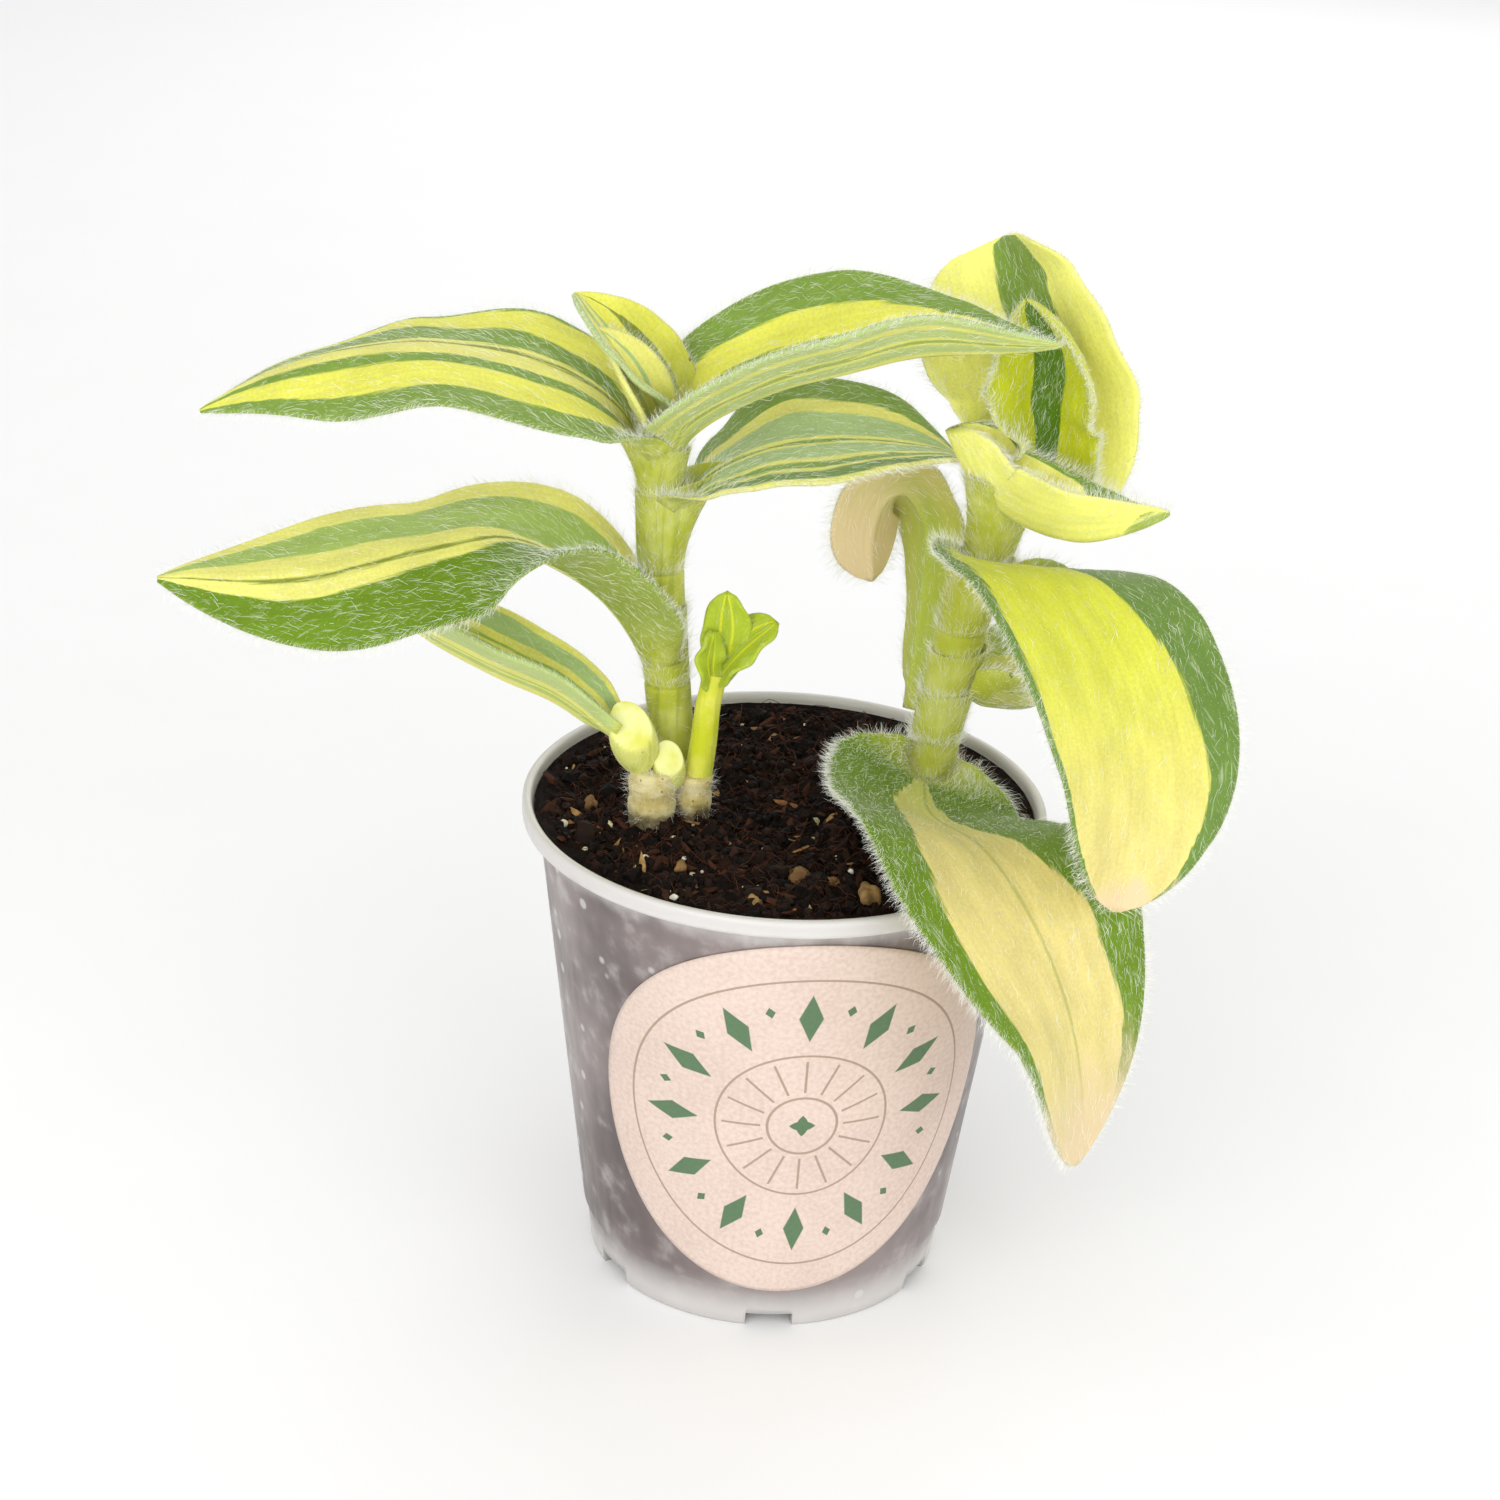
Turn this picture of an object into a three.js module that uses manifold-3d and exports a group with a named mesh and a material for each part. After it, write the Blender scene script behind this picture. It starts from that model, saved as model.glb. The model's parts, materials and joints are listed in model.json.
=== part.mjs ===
// A potted white velvet tradescantia: two leafy shoots, an old cut cane with its last leaf and a
// side shoot, standing in soil in a small thin-walled nursery pot with a round paper label.
//
// Units are millimetres and +Z is up. The pieces are drawn about the pot's axis, with the pot on Z = 0
// and its label facing -Y, and the whole group is then centred on its bounding box.

import * as THREE from 'three';
import { mergeVertices } from 'three/addons/utils/BufferGeometryUtils.js';
import Module from 'manifold-3d';

const wasm = await Module();
wasm.setup();

// Driving dimensions of the pot
const GAP = 0.3;
const POT_HEIGHT = 63;
const RIM_RADIUS = 32.5;
const WALL_TOP_RADIUS = 30.5;
const FOOT_RADIUS = 22.7;
const WALL = 1.0;
const RIM_BAND = 2.4;
const RIM_WALL = 1.2;
const RIM_ROUND = 0.3;
const FLOOR_BOTTOM = 2.0;
const FLOOR_TOP = 3.2;
const FOOT_RING = 2.2;
const FOOT_NOTCHES = 6;
const FOOT_NOTCH_WIDTH = 6;
const FOOT_NOTCH_FIRST_ANGLE = 4;
const DRAIN_HOLES = 6;
const DRAIN_HOLE_RADIUS = 2.5;
const DRAIN_CIRCLE_RADIUS = 14;

// Driving dimensions of the label, a round sticker on the pot's wall
const LABEL_RADIUS = 26.3;
const LABEL_THICKNESS = 0.4;
const LABEL_CENTRE_HEIGHT = 32.4;
const LABEL_TURN = 9;
const LABEL_WOBBLE = 0.012;

// Driving dimensions of the soil
const SOIL_LEVEL = 61.2;
const SOIL_BUMP = 0.75;
const SOIL_RINGS = 10;
const SOIL_LUMPS = 24;
const SOIL_LUMP_REACH = 27;

// Driving dimensions of the stems and old canes
const LEFT_STEM_RADIUS = 2.4;
const RIGHT_STEM_RADIUS = 2.7;
const OLD_CANE_PLACE = [-16.3, -4.6];
const OLD_CANE_RADIUS = 3.0;
const OLD_CANE_TOP = 68.3;
const SHOOT_CANE_PLACE = [-11.3, -2.4];
const SHOOT_CANE_RADIUS = 2.3;
const SHOOT_CANE_TOP = 67;
const ROOTED_FROM = 45;
const STEM_STEPS = 16;

// A leaf is thickest along its midrib, where it folds within a narrow crease. Its base clasps the stem
// by this angle to either side, and its sheath is a thin tube round the stem.
const MIDRIB_THICKNESS = 1.5;
const MARGIN_THICKNESS = 0.75;
const CREASE = 0.12;
const CLASP_ANGLE = THREE.MathUtils.degToRad(110);
const SHEATH_WALL = 0.8;

// The stems' middle lines, from inside the soil to the growing tip
const LEFT_STEM = [
  [-13.9, 3.4, ROOTED_FROM], [-13.9, 3.4, 60], [-14.8, 3, 72], [-16, 2.6, 84], [-16.8, 2.4, 96],
  [-17, 2, 108],
];
const RIGHT_STEM = [
  [17.6, 8.2, ROOTED_FROM], [17.6, 8.2, 60], [18.6, 8, 71], [20.2, 7.8, 82], [22.4, 7.6, 92],
  [25.2, 7.8, 101],
];

// Every leaf: its midrib from base to tip, the side that its upper face looks to at the base, how far
// it rolls about the midrib and folds along it in degrees, its curl, its width, where it is widest,
// how blunt its tip is, and the stretch of stem that its sheath wraps.
const LEAVES = {
  left_leaf_lowest: {
    midrib: [
      [-18, 2, 79], [-21, 0, 87], [-27, -2, 93], [-36, -4, 97], [-46, -7, 96], [-60, -9, 93],
      [-75, -12, 93],
    ],
    upper: [1, 0, 0.3], roll: [20, 20, 5, -10, -10], fold: [35, 35, -10, -15, -20], curl: [0, 0],
    width: 25, base: 0.6, belly: 0.5, tip: 0.8, grip: 2.9, clasp: 0.14, sheath: [77, 87],
  },
  left_leaf_second: {
    midrib: [
      [-14, 2, 99], [-11, 3, 103.5], [-5, 5, 106.5], [2, 7, 107.5], [9, 9, 107], [15, 10, 106],
      [19, 11, 104.6],
    ],
    upper: [-1, 0, 0.6], roll: [-5, 10, 25, 25, 15], fold: [5, 0, 10, 15, 15], curl: [0, 0],
    width: 26, base: 0.85, belly: 0.4, tip: 0.6, grip: 3, clasp: 0.12, sheath: [92, 101],
  },
  left_leaf_third: {
    midrib: [
      [-19, 1, 107], [-23, 0, 112], [-29, -1, 116], [-38, -3, 119], [-47, -5, 120], [-59, -7, 118],
      [-70, -9, 113],
    ],
    upper: [0.5, 0, 1], roll: [-10, -15, 0, -5, 5], fold: [20, 5, -5, -20, -10], curl: [0, 0],
    width: 24, base: 0.6, belly: 0.45, tip: 0.8, grip: 3.2, clasp: 0.14, sheath: [102, 107],
  },
  left_leaf_fourth: {
    midrib: [
      [-15, 2, 107], [-12, 1, 112], [-4, 0, 117], [4, -1, 120], [13, -2, 123], [22, -3, 124],
      [29, -4, 125],
    ],
    upper: [-0.5, 0, 1], roll: [8, 8, 5, -10, -20], fold: [38, 38, 40, 32, 20], curl: [0, 0],
    width: 26, base: 0.7, belly: 0.4, tip: 0.8, grip: 3.2, clasp: 0.12, sheath: [107.5, 111],
  },
  left_bud: {
    midrib: [[-16, 2, 111], [-18, 2, 114], [-21, 1, 118], [-25, 1, 123], [-28, 2, 126]],
    upper: [0.7, 0, 0.5], roll: [-15, -15, -20, -25, -30], fold: [35, 30, 20, 20, 20], curl: [20, 20],
    width: 14, base: 0.7, belly: 0.4, tip: 0.8, grip: 2, clasp: 0.12,
  },
  left_old_leaf: {
    midrib: [[-21, -4, 72], [-28, -2, 76], [-35, 0, 78], [-42, 3, 80], [-48, 6, 82], [-53, 9, 83]],
    upper: [0.3, 0, 1], roll: [0, 0, 0, 0, 0], fold: [50, 48, 45, 42, 40], curl: [0, 0],
    width: 15, base: 0.5, belly: 0.55, tip: 0.8, grip: 2, clasp: 0.14,
  },
  right_leaf_lowest: {
    midrib: [
      [16.8, 4.6, 64.6], [17.6, -7.5, 65], [23.6, -20, 66.9], [29, -29, 63.2], [33.5, -32, 54],
      [36, -33, 44], [37, -33, 33],
    ],
    upper: [0, 0, 1], roll: [-22, -12, 3, -10, -10], fold: [10, 10, 10, 15, 10], curl: [0, 0],
    width: 31, base: 0.72, belly: 0.45, tip: 0.66, grip: 3.2, clasp: 0.05, sheath: [63.6, 68.1],
  },
  right_leaf_second: {
    midrib: [[21, 8, 75], [25, 9, 74], [30, 12, 73], [37, 16, 75], [44, 20, 76], [51, 24, 75]],
    upper: [-0.2, 0, 1], roll: [0, 0, 0, 0, 0], fold: [40, 38, 35, 28, 20], curl: [0, 0],
    width: 22, base: 0.9, belly: 0.35, tip: 0.8, grip: 3.2, clasp: 0.1, sheath: [75.5, 81],
  },
  right_leaf_third: {
    midrib: [
      [15, 9, 72], [15.8, 12, 80], [16.4, 13.6, 88], [15.8, 14.6, 95], [12.8, 14.4, 99.4],
      [9.6, 12.8, 98.2], [8.4, 11.4, 93.6], [9.2, 10.6, 88.3],
    ],
    upper: [1, 0, 0.1], roll: [0, 0, 0, 20, 100, 120], fold: [30, 20, 10, 0, 10, 15], curl: [0, 0],
    width: 11, base: 0.55, belly: 0.78, tip: 0.45, grip: 3.2, clasp: 0.1, sheath: [69, 75],
  },
  right_leaf_fourth: {
    midrib: [
      [23, 5, 90], [25, 0, 95], [31, -9, 97], [37, -17, 90], [40, -23, 81], [40, -27, 73],
      [39, -29, 65],
    ],
    upper: [-0.3, 0, 1], roll: [-40, -24, -18, -13, -8], fold: [5, 2, 10, 15, 18], curl: [0, 0],
    width: 30, base: 0.5, belly: 0.5, tip: 0.6, grip: 3.4, clasp: 0.14, sheath: [84, 92],
  },
  right_leaf_fifth: {
    midrib: [
      [17.5, 4.8, 111], [19.8, 4.7, 106.7], [23, 4.4, 103], [27.5, 2, 100.9], [32.5, -1.8, 101],
      [37.5, -4.6, 103], [43, -6, 105.8],
    ],
    upper: [1, 0, 0.4], roll: [20, 25, 24, 16, 6], fold: [75, 75, 73, 60, 40], curl: [0, 0],
    width: 14.3, base: 0.7, belly: 0.45, tip: 0.7, sheath: [93, 101.2],
  },
  right_leaf_sixth: {
    midrib: [
      [26, 9.8, 100], [28.2, 11.6, 107], [28.6, 13, 112.6], [27.7, 14, 118.1], [25.3, 15.5, 124.3],
      [22.5, 18, 131],
    ],
    upper: [0, -1, 0], roll: [16, 6, -7, -27, -40, -51], fold: [26, 32, 35, 33, 26, 34],
    curl: [0, 0], width: 27.6, base: 0.7, belly: 0.63, tip: 0.27, grip: 3.4, clasp: 0.12,
  },
  right_young_leaf: {
    midrib: [[26, 8, 102.5], [28, 9, 106], [28, 10, 112], [28, 9, 120], [25, 6, 127]],
    upper: [0, -1, 0.2], roll: [15, 15, -5, -10, -5], fold: [50, 50, 35, 30, 30], curl: [50, 50],
    width: 23, base: 0.4, belly: 0.6, tip: 0.45, grip: 2.5, clasp: 0.1,
  },
};

// Small blades that grow on another piece
const BUD_INNER_LEAF = {
  midrib: [[-18, -1, 111], [-20, -2, 115], [-22, -2, 119], [-25, -1, 123]],
  upper: [1, -0.3, 0.4], roll: [-20, -20, -20], fold: [40, 35, 30], curl: [20, 20],
  width: 9, base: 0.7, belly: 0.4, tip: 0.8, grip: 2, clasp: 0.12,
};
const SHOOT_STEM = [[-11.2, -2.3, 64], [-10.4, -2, 70.7], [-10, -2, 76], [-9.2, -2, 80.5]];
const SHOOT_STEM_RADIUS = 1.7;
const SHOOT_LEAVES = [
  { midrib: [[-9.3, -2, 79], [-8.2, -1.2, 84.6], [-8.3, -1.6, 91]], upper: [0, -1, 0.3], width: 6 },
  { midrib: [[-9, -2, 79], [-5.8, -2.4, 84.2], [-2, -2.6, 87.7]], upper: [-0.6, -0.6, 0.6], width: 6.4 },
  { midrib: [[-9.6, -2.2, 78.4], [-10.3, -3, 82], [-9.9, -3, 86.4]], upper: [0.6, -0.8, 0], width: 4 },
];

// Colours and gloss of what each piece is made of
const finish = (color, roughness) => new THREE.MeshStandardMaterial({ color, roughness, metalness: 0 });
const POT_PLASTIC = finish(0xa8a2ab, 0.35);
const LABEL_PAPER = finish(0xd8c4b6, 0.8);
const SOIL_EARTH = finish(0x33281f, 1);
const STEM_SKIN = finish(0x93a254, 0.65);
const OLD_CANE_SKIN = finish(0xc9c48e, 0.75);
const SHOOT_SKIN = finish(0x9cb84a, 0.6);
const LEAF_SKIN = finish(0xb4c46a, 0.7);
const YOUNG_LEAF_SKIN = finish(0xd2d83c, 0.65);

const clamp = (value) => Math.min(1, Math.max(0, value));
const smooth = (value) => clamp(value) ** 2 * (3 - 2 * clamp(value));

// Seeded draws, so that the soil is the same each time
function randomSource(seed) {
  let state = seed;
  return () => {
    state = (state * 1664525 + 1013904223) % 4294967296;
    return state / 4294967296;
  };
}

// A closed geometry as a solid that can be joined and cut
function solidOf(geometry) {
  const bare = geometry.clone();
  bare.deleteAttribute('normal');
  bare.deleteAttribute('uv');
  const merged = mergeVertices(bare, 1e-4);
  const mesh = new wasm.Mesh({
    numProp: 3,
    vertProperties: new Float32Array(merged.attributes.position.array),
    triVerts: new Uint32Array(merged.index.array),
  });
  return new wasm.Manifold(mesh);
}

// The largest connected body of a solid, back as a geometry
function geometryOf(solid) {
  const bodies = solid.decompose();
  const largest = bodies.reduce((best, body) => (body.volume() > best.volume() ? body : best));
  const mesh = largest.simplify(0.01).getMesh();
  const geometry = new THREE.BufferGeometry();
  geometry.setAttribute('position', new THREE.BufferAttribute(new Float32Array(mesh.vertProperties), 3));
  geometry.setIndex(new THREE.BufferAttribute(new Uint32Array(mesh.triVerts), 1));
  geometry.computeVertexNormals();
  return geometry;
}

// A profile of [radius, height] points turned about the Z axis
function turned(profile, segments) {
  const points = profile.map(([radius, height]) => new THREE.Vector2(radius, height));
  return new THREE.LatheGeometry(points, segments).rotateX(Math.PI / 2);
}

// An upright cylinder from one height to another
function upright(radius, low, high, segments = 14) {
  const geometry = new THREE.CylinderGeometry(radius, radius, high - low, segments);
  return geometry.rotateX(Math.PI / 2).translate(0, 0, (low + high) / 2);
}

// A round rod along a smooth curve through the points
function rod(points, radius, steps, sides = 10) {
  const curve = new THREE.CatmullRomCurve3(points.map((point) => new THREE.Vector3(...point)));
  const circle = new THREE.Shape();
  circle.absarc(0, 0, radius, 0, 2 * Math.PI);
  return new THREE.ExtrudeGeometry(circle, { steps, extrudePath: curve, curveSegments: sides / 2 });
}

// An egg-shaped body with its own three half sizes, leaning about Y
function egg([x, y, z], [rx, ry, rz], lean) {
  const ball = new THREE.SphereGeometry(1, 12, 8).rotateX(Math.PI / 2);
  return ball.scale(rx, ry, rz).rotateY(lean).translate(x, y, z);
}

// The outer radius of the pot's wall at a height
function wallRadius(height) {
  return FOOT_RADIUS + ((WALL_TOP_RADIUS - FOOT_RADIUS) * height) / (POT_HEIGHT - RIM_BAND);
}

function makePot() {
  const shoulder = POT_HEIGHT - RIM_BAND;
  const lipInner = RIM_RADIUS - RIM_WALL;
  const profile = [
    [0, FLOOR_BOTTOM],
    [FOOT_RADIUS - FOOT_RING, FLOOR_BOTTOM],
    [FOOT_RADIUS - FOOT_RING + RIM_ROUND, 0],
    [FOOT_RADIUS, 0],
    [WALL_TOP_RADIUS, shoulder],
    [RIM_RADIUS - RIM_ROUND, shoulder + 0.2],
    [RIM_RADIUS, shoulder + 0.5],
    [RIM_RADIUS, POT_HEIGHT - RIM_ROUND],
    [RIM_RADIUS - RIM_ROUND, POT_HEIGHT],
    [lipInner + RIM_ROUND, POT_HEIGHT],
    [lipInner, POT_HEIGHT - RIM_ROUND],
    [lipInner, shoulder + 0.9],
    [WALL_TOP_RADIUS - WALL, shoulder - 0.4],
    [wallRadius(FLOOR_TOP) - WALL, FLOOR_TOP],
    [0, FLOOR_TOP],
  ];
  let pot = solidOf(turned(profile, 48));
  for (let k = 0; k < FOOT_NOTCHES; k += 1) {
    const angle = THREE.MathUtils.degToRad(FOOT_NOTCH_FIRST_ANGLE - 90 + (360 * k) / FOOT_NOTCHES);
    const notch = new THREE.BoxGeometry(4 * FOOT_RING, FOOT_NOTCH_WIDTH, 2 * FLOOR_BOTTOM);
    notch.translate(FOOT_RADIUS, 0, 0).rotateZ(angle);
    pot = pot.subtract(solidOf(notch));
  }
  for (let k = 0; k < DRAIN_HOLES; k += 1) {
    const angle = (2 * Math.PI * k) / DRAIN_HOLES;
    const hole = upright(DRAIN_HOLE_RADIUS, FLOOR_BOTTOM - 1, FLOOR_TOP + 1);
    hole.translate(DRAIN_CIRCLE_RADIUS * Math.cos(angle), DRAIN_CIRCLE_RADIUS * Math.sin(angle), 0);
    pot = pot.subtract(solidOf(hole));
  }
  return pot;
}

// The sticker's edge is a circle with a slight pebble wobble, rolled onto the cone of the wall
function makeLabel() {
  const rings = 4;
  const sectors = 28;
  const facing = THREE.MathUtils.degToRad(LABEL_TURN - 90);
  const place = (fraction, angle, lift) => {
    const wobble = 1 + LABEL_WOBBLE * (Math.cos(3 * angle + 0.6) + Math.sin(2 * angle));
    const reach = LABEL_RADIUS * fraction * wobble;
    const height = LABEL_CENTRE_HEIGHT + reach * Math.sin(angle);
    const turn = facing + (reach * Math.cos(angle)) / wallRadius(LABEL_CENTRE_HEIGHT);
    const radius = wallRadius(height) + lift;
    return [radius * Math.cos(turn), radius * Math.sin(turn), height];
  };
  const positions = [];
  const faces = [];
  const layer = 1 + rings * sectors;
  for (const lift of [GAP + LABEL_THICKNESS, GAP]) {
    positions.push(...place(0, 0, lift));
    for (let ring = 1; ring <= rings; ring += 1) {
      for (let k = 0; k < sectors; k += 1) {
        positions.push(...place(ring / rings, (2 * Math.PI * k) / sectors, lift));
      }
    }
  }
  const at = (ring, k) => (ring === 0 ? 0 : 1 + (ring - 1) * sectors + (k % sectors));
  for (let k = 0; k < sectors; k += 1) {
    faces.push(0, at(1, k), at(1, k + 1));
    faces.push(layer, layer + at(1, k + 1), layer + at(1, k));
    for (let ring = 1; ring < rings; ring += 1) {
      const [a, b, c, d] = [at(ring, k), at(ring + 1, k), at(ring + 1, k + 1), at(ring, k + 1)];
      faces.push(a, b, c, a, c, d);
      faces.push(layer + a, layer + c, layer + b, layer + a, layer + d, layer + c);
    }
    const [outerA, outerB] = [at(rings, k), at(rings, k + 1)];
    faces.push(outerA, layer + outerA, layer + outerB, outerA, layer + outerB, outerB);
  }
  const geometry = new THREE.BufferGeometry();
  geometry.setAttribute('position', new THREE.Float32BufferAttribute(positions, 3));
  geometry.setIndex(faces);
  return solidOf(geometry);
}

// Height of the soil's surface above its level, as crossing waves of several sizes that die out
// towards the pot's wall, where the soil stands a little higher
function soilBump(x, y) {
  const inside = smooth((30.5 - Math.hypot(x, y)) / 7);
  const wide = Math.sin(0.31 * x + 1.1) * Math.cos(0.27 * y - 0.4);
  const middle = Math.sin(0.83 * x - 0.52 * y) * Math.sin(0.71 * y + 0.38 * x + 1.9);
  const fine = Math.sin(1.9 * x + 0.7 * y) * Math.sin(1.6 * y - 0.9 * x);
  return SOIL_BUMP * ((0.5 * wide + 0.7 * middle + 0.5 * fine) * inside + 0.6 * (1 - inside));
}

function makeSoil() {
  const shoulder = POT_HEIGHT - RIM_BAND;
  const edge = RIM_RADIUS - RIM_WALL - GAP;
  const edgeHeight = shoulder + 1.3;
  const profile = [
    [0, FLOOR_TOP + GAP],
    [wallRadius(FLOOR_TOP) - WALL - GAP, FLOOR_TOP + GAP],
    [WALL_TOP_RADIUS - WALL - GAP, shoulder - 0.2],
    [edge, edgeHeight],
  ];
  for (let ring = SOIL_RINGS; ring >= 0; ring -= 1) {
    profile.push([(edge * ring) / (SOIL_RINGS + 0.6), POT_HEIGHT]);
  }
  const geometry = turned(profile, 36);
  const position = geometry.attributes.position;
  for (let k = 0; k < position.count; k += 1) {
    if (position.getZ(k) > edgeHeight + GAP) {
      position.setZ(k, SOIL_LEVEL + soilBump(position.getX(k), position.getY(k)));
    }
  }
  let soil = solidOf(geometry);
  const random = randomSource(29);
  for (let k = 0; k < SOIL_LUMPS; k += 1) {
    const angle = 2 * Math.PI * random();
    const distance = SOIL_LUMP_REACH * Math.sqrt(random());
    const size = 1.1 + 1.5 * random();
    const lump = new THREE.IcosahedronGeometry(size, 0);
    lump.scale(1, 0.75 + 0.5 * random(), 0.6).rotateX(random()).rotateZ(6 * random());
    const [x, y] = [distance * Math.cos(angle), distance * Math.sin(angle)];
    lump.translate(x, y, SOIL_LEVEL + soilBump(x, y) + 0.25 * size);
    soil = soil.add(solidOf(lump));
  }
  return soil;
}

// A smooth value between the listed ones, which stand at equal steps from base to tip
function along(values, s) {
  const place = clamp(s) * (values.length - 1);
  const k = Math.min(Math.floor(place), values.length - 2);
  return values[k] + (values[k + 1] - values[k]) * smooth(place - k);
}

// Half of the blade's width as a share of its widest: it swells from the base and narrows to the tip
function outline(leaf, s) {
  const swell = leaf.base + (1 - leaf.base) * Math.sin((Math.PI / 2) * clamp(s / leaf.belly));
  const taper = Math.cos((Math.PI / 2) * clamp((s - leaf.belly) / (1 - leaf.belly))) ** leaf.tip;
  return s < leaf.belly ? swell : Math.max(taper, 0.05);
}

// Rows of points and of normals over a blade's middle surface. At the base the blade clasps the stem
// in a half circle, and further out it folds, curls and rolls as the leaf says.
function bladeRows(leaf, rowCount, sideCount, widen) {
  const curve = new THREE.CatmullRomCurve3(
    leaf.midrib.map((point) => new THREE.Vector3(...point)), false, 'catmullrom', 0.5,
  );
  const upper = new THREE.Vector3(...leaf.upper);
  const rows = [];
  for (let i = 0; i <= rowCount; i += 1) {
    const s = i / rowCount;
    const centre = curve.getPointAt(s);
    const tangent = curve.getTangentAt(s);
    upper.addScaledVector(tangent, -upper.dot(tangent)).normalize();
    const roll = THREE.MathUtils.degToRad(along(leaf.roll, s));
    const fold = THREE.MathUtils.degToRad(along(leaf.fold, s));
    const curl = THREE.MathUtils.degToRad(along(leaf.curl, s));
    const clasp = leaf.grip ? 1 - smooth(s / leaf.clasp) : 0;
    const normal = upper.clone().applyAxisAngle(tangent, roll);
    const across = tangent.clone().cross(normal);
    const wrapped = (leaf.grip ?? 0) * CLASP_ANGLE;
    const half = (leaf.width / 2) * outline(leaf, s) * (1 - clasp) + wrapped * clasp + widen;
    const slope = (t) => (fold * Math.tanh(t / CREASE) + curl * t) * (1 - clasp) + CLASP_ANGLE * t * clasp;
    const row = new Array(2 * sideCount + 1);
    row[sideCount] = { point: centre, normal, share: 0 };
    for (const side of [-1, 1]) {
      let [out, up] = [0, 0];
      for (let k = 1; k <= sideCount; k += 1) {
        const angle = slope((k - 0.5) / sideCount);
        out += (Math.cos(angle) * half) / sideCount;
        up += (Math.sin(angle) * half) / sideCount;
        const lean = slope(k / sideCount);
        row[sideCount + side * k] = {
          point: centre.clone().addScaledVector(across, side * out).addScaledVector(normal, up),
          normal: normal.clone().applyAxisAngle(tangent, -side * lean),
          share: k / sideCount,
        };
      }
    }
    rows.push(row);
  }
  return rows;
}

// A blade as a closed solid, with the same triangles on its upper and lower face
function makeBlade(leaf, grow = 0, rowCount = 16, sideCount = 3) {
  const rows = bladeRows(leaf, rowCount, sideCount, grow);
  const columns = 2 * sideCount + 1;
  const positions = [];
  for (const face of [1, -1]) {
    for (const row of rows) {
      for (const { point, normal, share } of row) {
        const thickness = MIDRIB_THICKNESS + (MARGIN_THICKNESS - MIDRIB_THICKNESS) * share;
        const moved = point.clone().addScaledVector(normal, face * (thickness / 2 + grow));
        positions.push(moved.x, moved.y, moved.z);
      }
    }
  }
  const under = rows.length * columns;
  const faces = [];
  const wall = (a, b) => faces.push(a, b, b + under, a, b + under, a + under);
  for (let i = 0; i < rowCount; i += 1) {
    for (let j = 0; j < columns - 1; j += 1) {
      const a = i * columns + j;
      const [b, c, d] = [a + 1, a + columns + 1, a + columns];
      faces.push(a, b, c, a, c, d);
      faces.push(under + a, under + c, under + b, under + a, under + d, under + c);
    }
    wall(i * columns, (i + 1) * columns);
    wall((i + 2) * columns - 1, (i + 1) * columns - 1);
  }
  for (let j = 0; j < columns - 1; j += 1) {
    wall(j + 1, j);
    wall(rowCount * columns + j, rowCount * columns + j + 1);
  }
  const geometry = new THREE.BufferGeometry();
  geometry.setAttribute('position', new THREE.Float32BufferAttribute(positions, 3));
  geometry.setIndex(faces);
  return solidOf(geometry);
}

// Points of a stem's middle line between two heights
function stretchOf(stem, low, high, count = 5) {
  const curve = new THREE.CatmullRomCurve3(stem.map((point) => new THREE.Vector3(...point)));
  const samples = curve.getPoints(200);
  const points = [];
  for (let k = 0; k < count; k += 1) {
    const height = low + ((high - low) * k) / (count - 1);
    const above = samples.findIndex((sample) => sample.z >= height);
    const [a, b] = [samples[Math.max(above - 1, 0)], samples[above < 0 ? samples.length - 1 : above]];
    const share = above < 0 ? 1 : (height - a.z) / Math.max(b.z - a.z, 1e-6);
    points.push([a.x + (b.x - a.x) * share, a.y + (b.y - a.y) * share, height]);
  }
  return points;
}

// A leaf with its sheath round the stem, or, grown by a gap, the room that it needs
function makeLeaf(leaf, stem, stemRadius, grow = 0) {
  let solid = makeBlade(leaf, grow);
  if (leaf.sheath) {
    const [low, high] = leaf.sheath;
    const points = stretchOf(stem, low - grow, high + grow);
    solid = solid.add(solidOf(rod(points, stemRadius + GAP + SHEATH_WALL + grow, 3)));
  }
  return solid;
}

// The leaves of one shoot, listed from the youngest down, each cut clear of the stem and of the
// leaves above it
function makeShootLeaves(names, stem, stemRadius, room) {
  const taken = [solidOf(rod(room, stemRadius + GAP, STEM_STEPS))];
  const made = {};
  for (const name of names) {
    let solid = name === 'left_bud' ? makeBud(0) : makeLeaf(LEAVES[name], stem, stemRadius);
    for (const other of taken) {
      solid = solid.subtract(other);
    }
    made[name] = solid;
    taken.push(name === 'left_bud' ? makeBud(GAP) : makeLeaf(LEAVES[name], stem, stemRadius, GAP));
  }
  return made;
}

// The bud is two young leaves still rolled together at their foot
function makeBud(grow) {
  const foot = egg([-16.8, 1.2, 112.6], [1.7 + grow, 1.7 + grow, 2.6 + grow], 0);
  return makeBlade(LEAVES.left_bud, grow, 12).add(makeBlade(BUD_INNER_LEAF, grow, 10)).add(solidOf(foot));
}

function makeOldCane(grow = 0) {
  const cane = upright(OLD_CANE_RADIUS + grow, ROOTED_FROM - grow, OLD_CANE_TOP + grow);
  return solidOf(cane.translate(...OLD_CANE_PLACE, 0));
}

// The old leaf grows from a swollen sheath that sits on the cut cane
function makeOldLeaf(grow = 0) {
  const sheath = egg([-18.9, -4.4, 72.2], [2.9 + grow, 2.6 + grow, 4.9 + grow], -0.3);
  return makeBlade(LEAVES.left_old_leaf, grow).add(solidOf(sheath));
}

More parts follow.
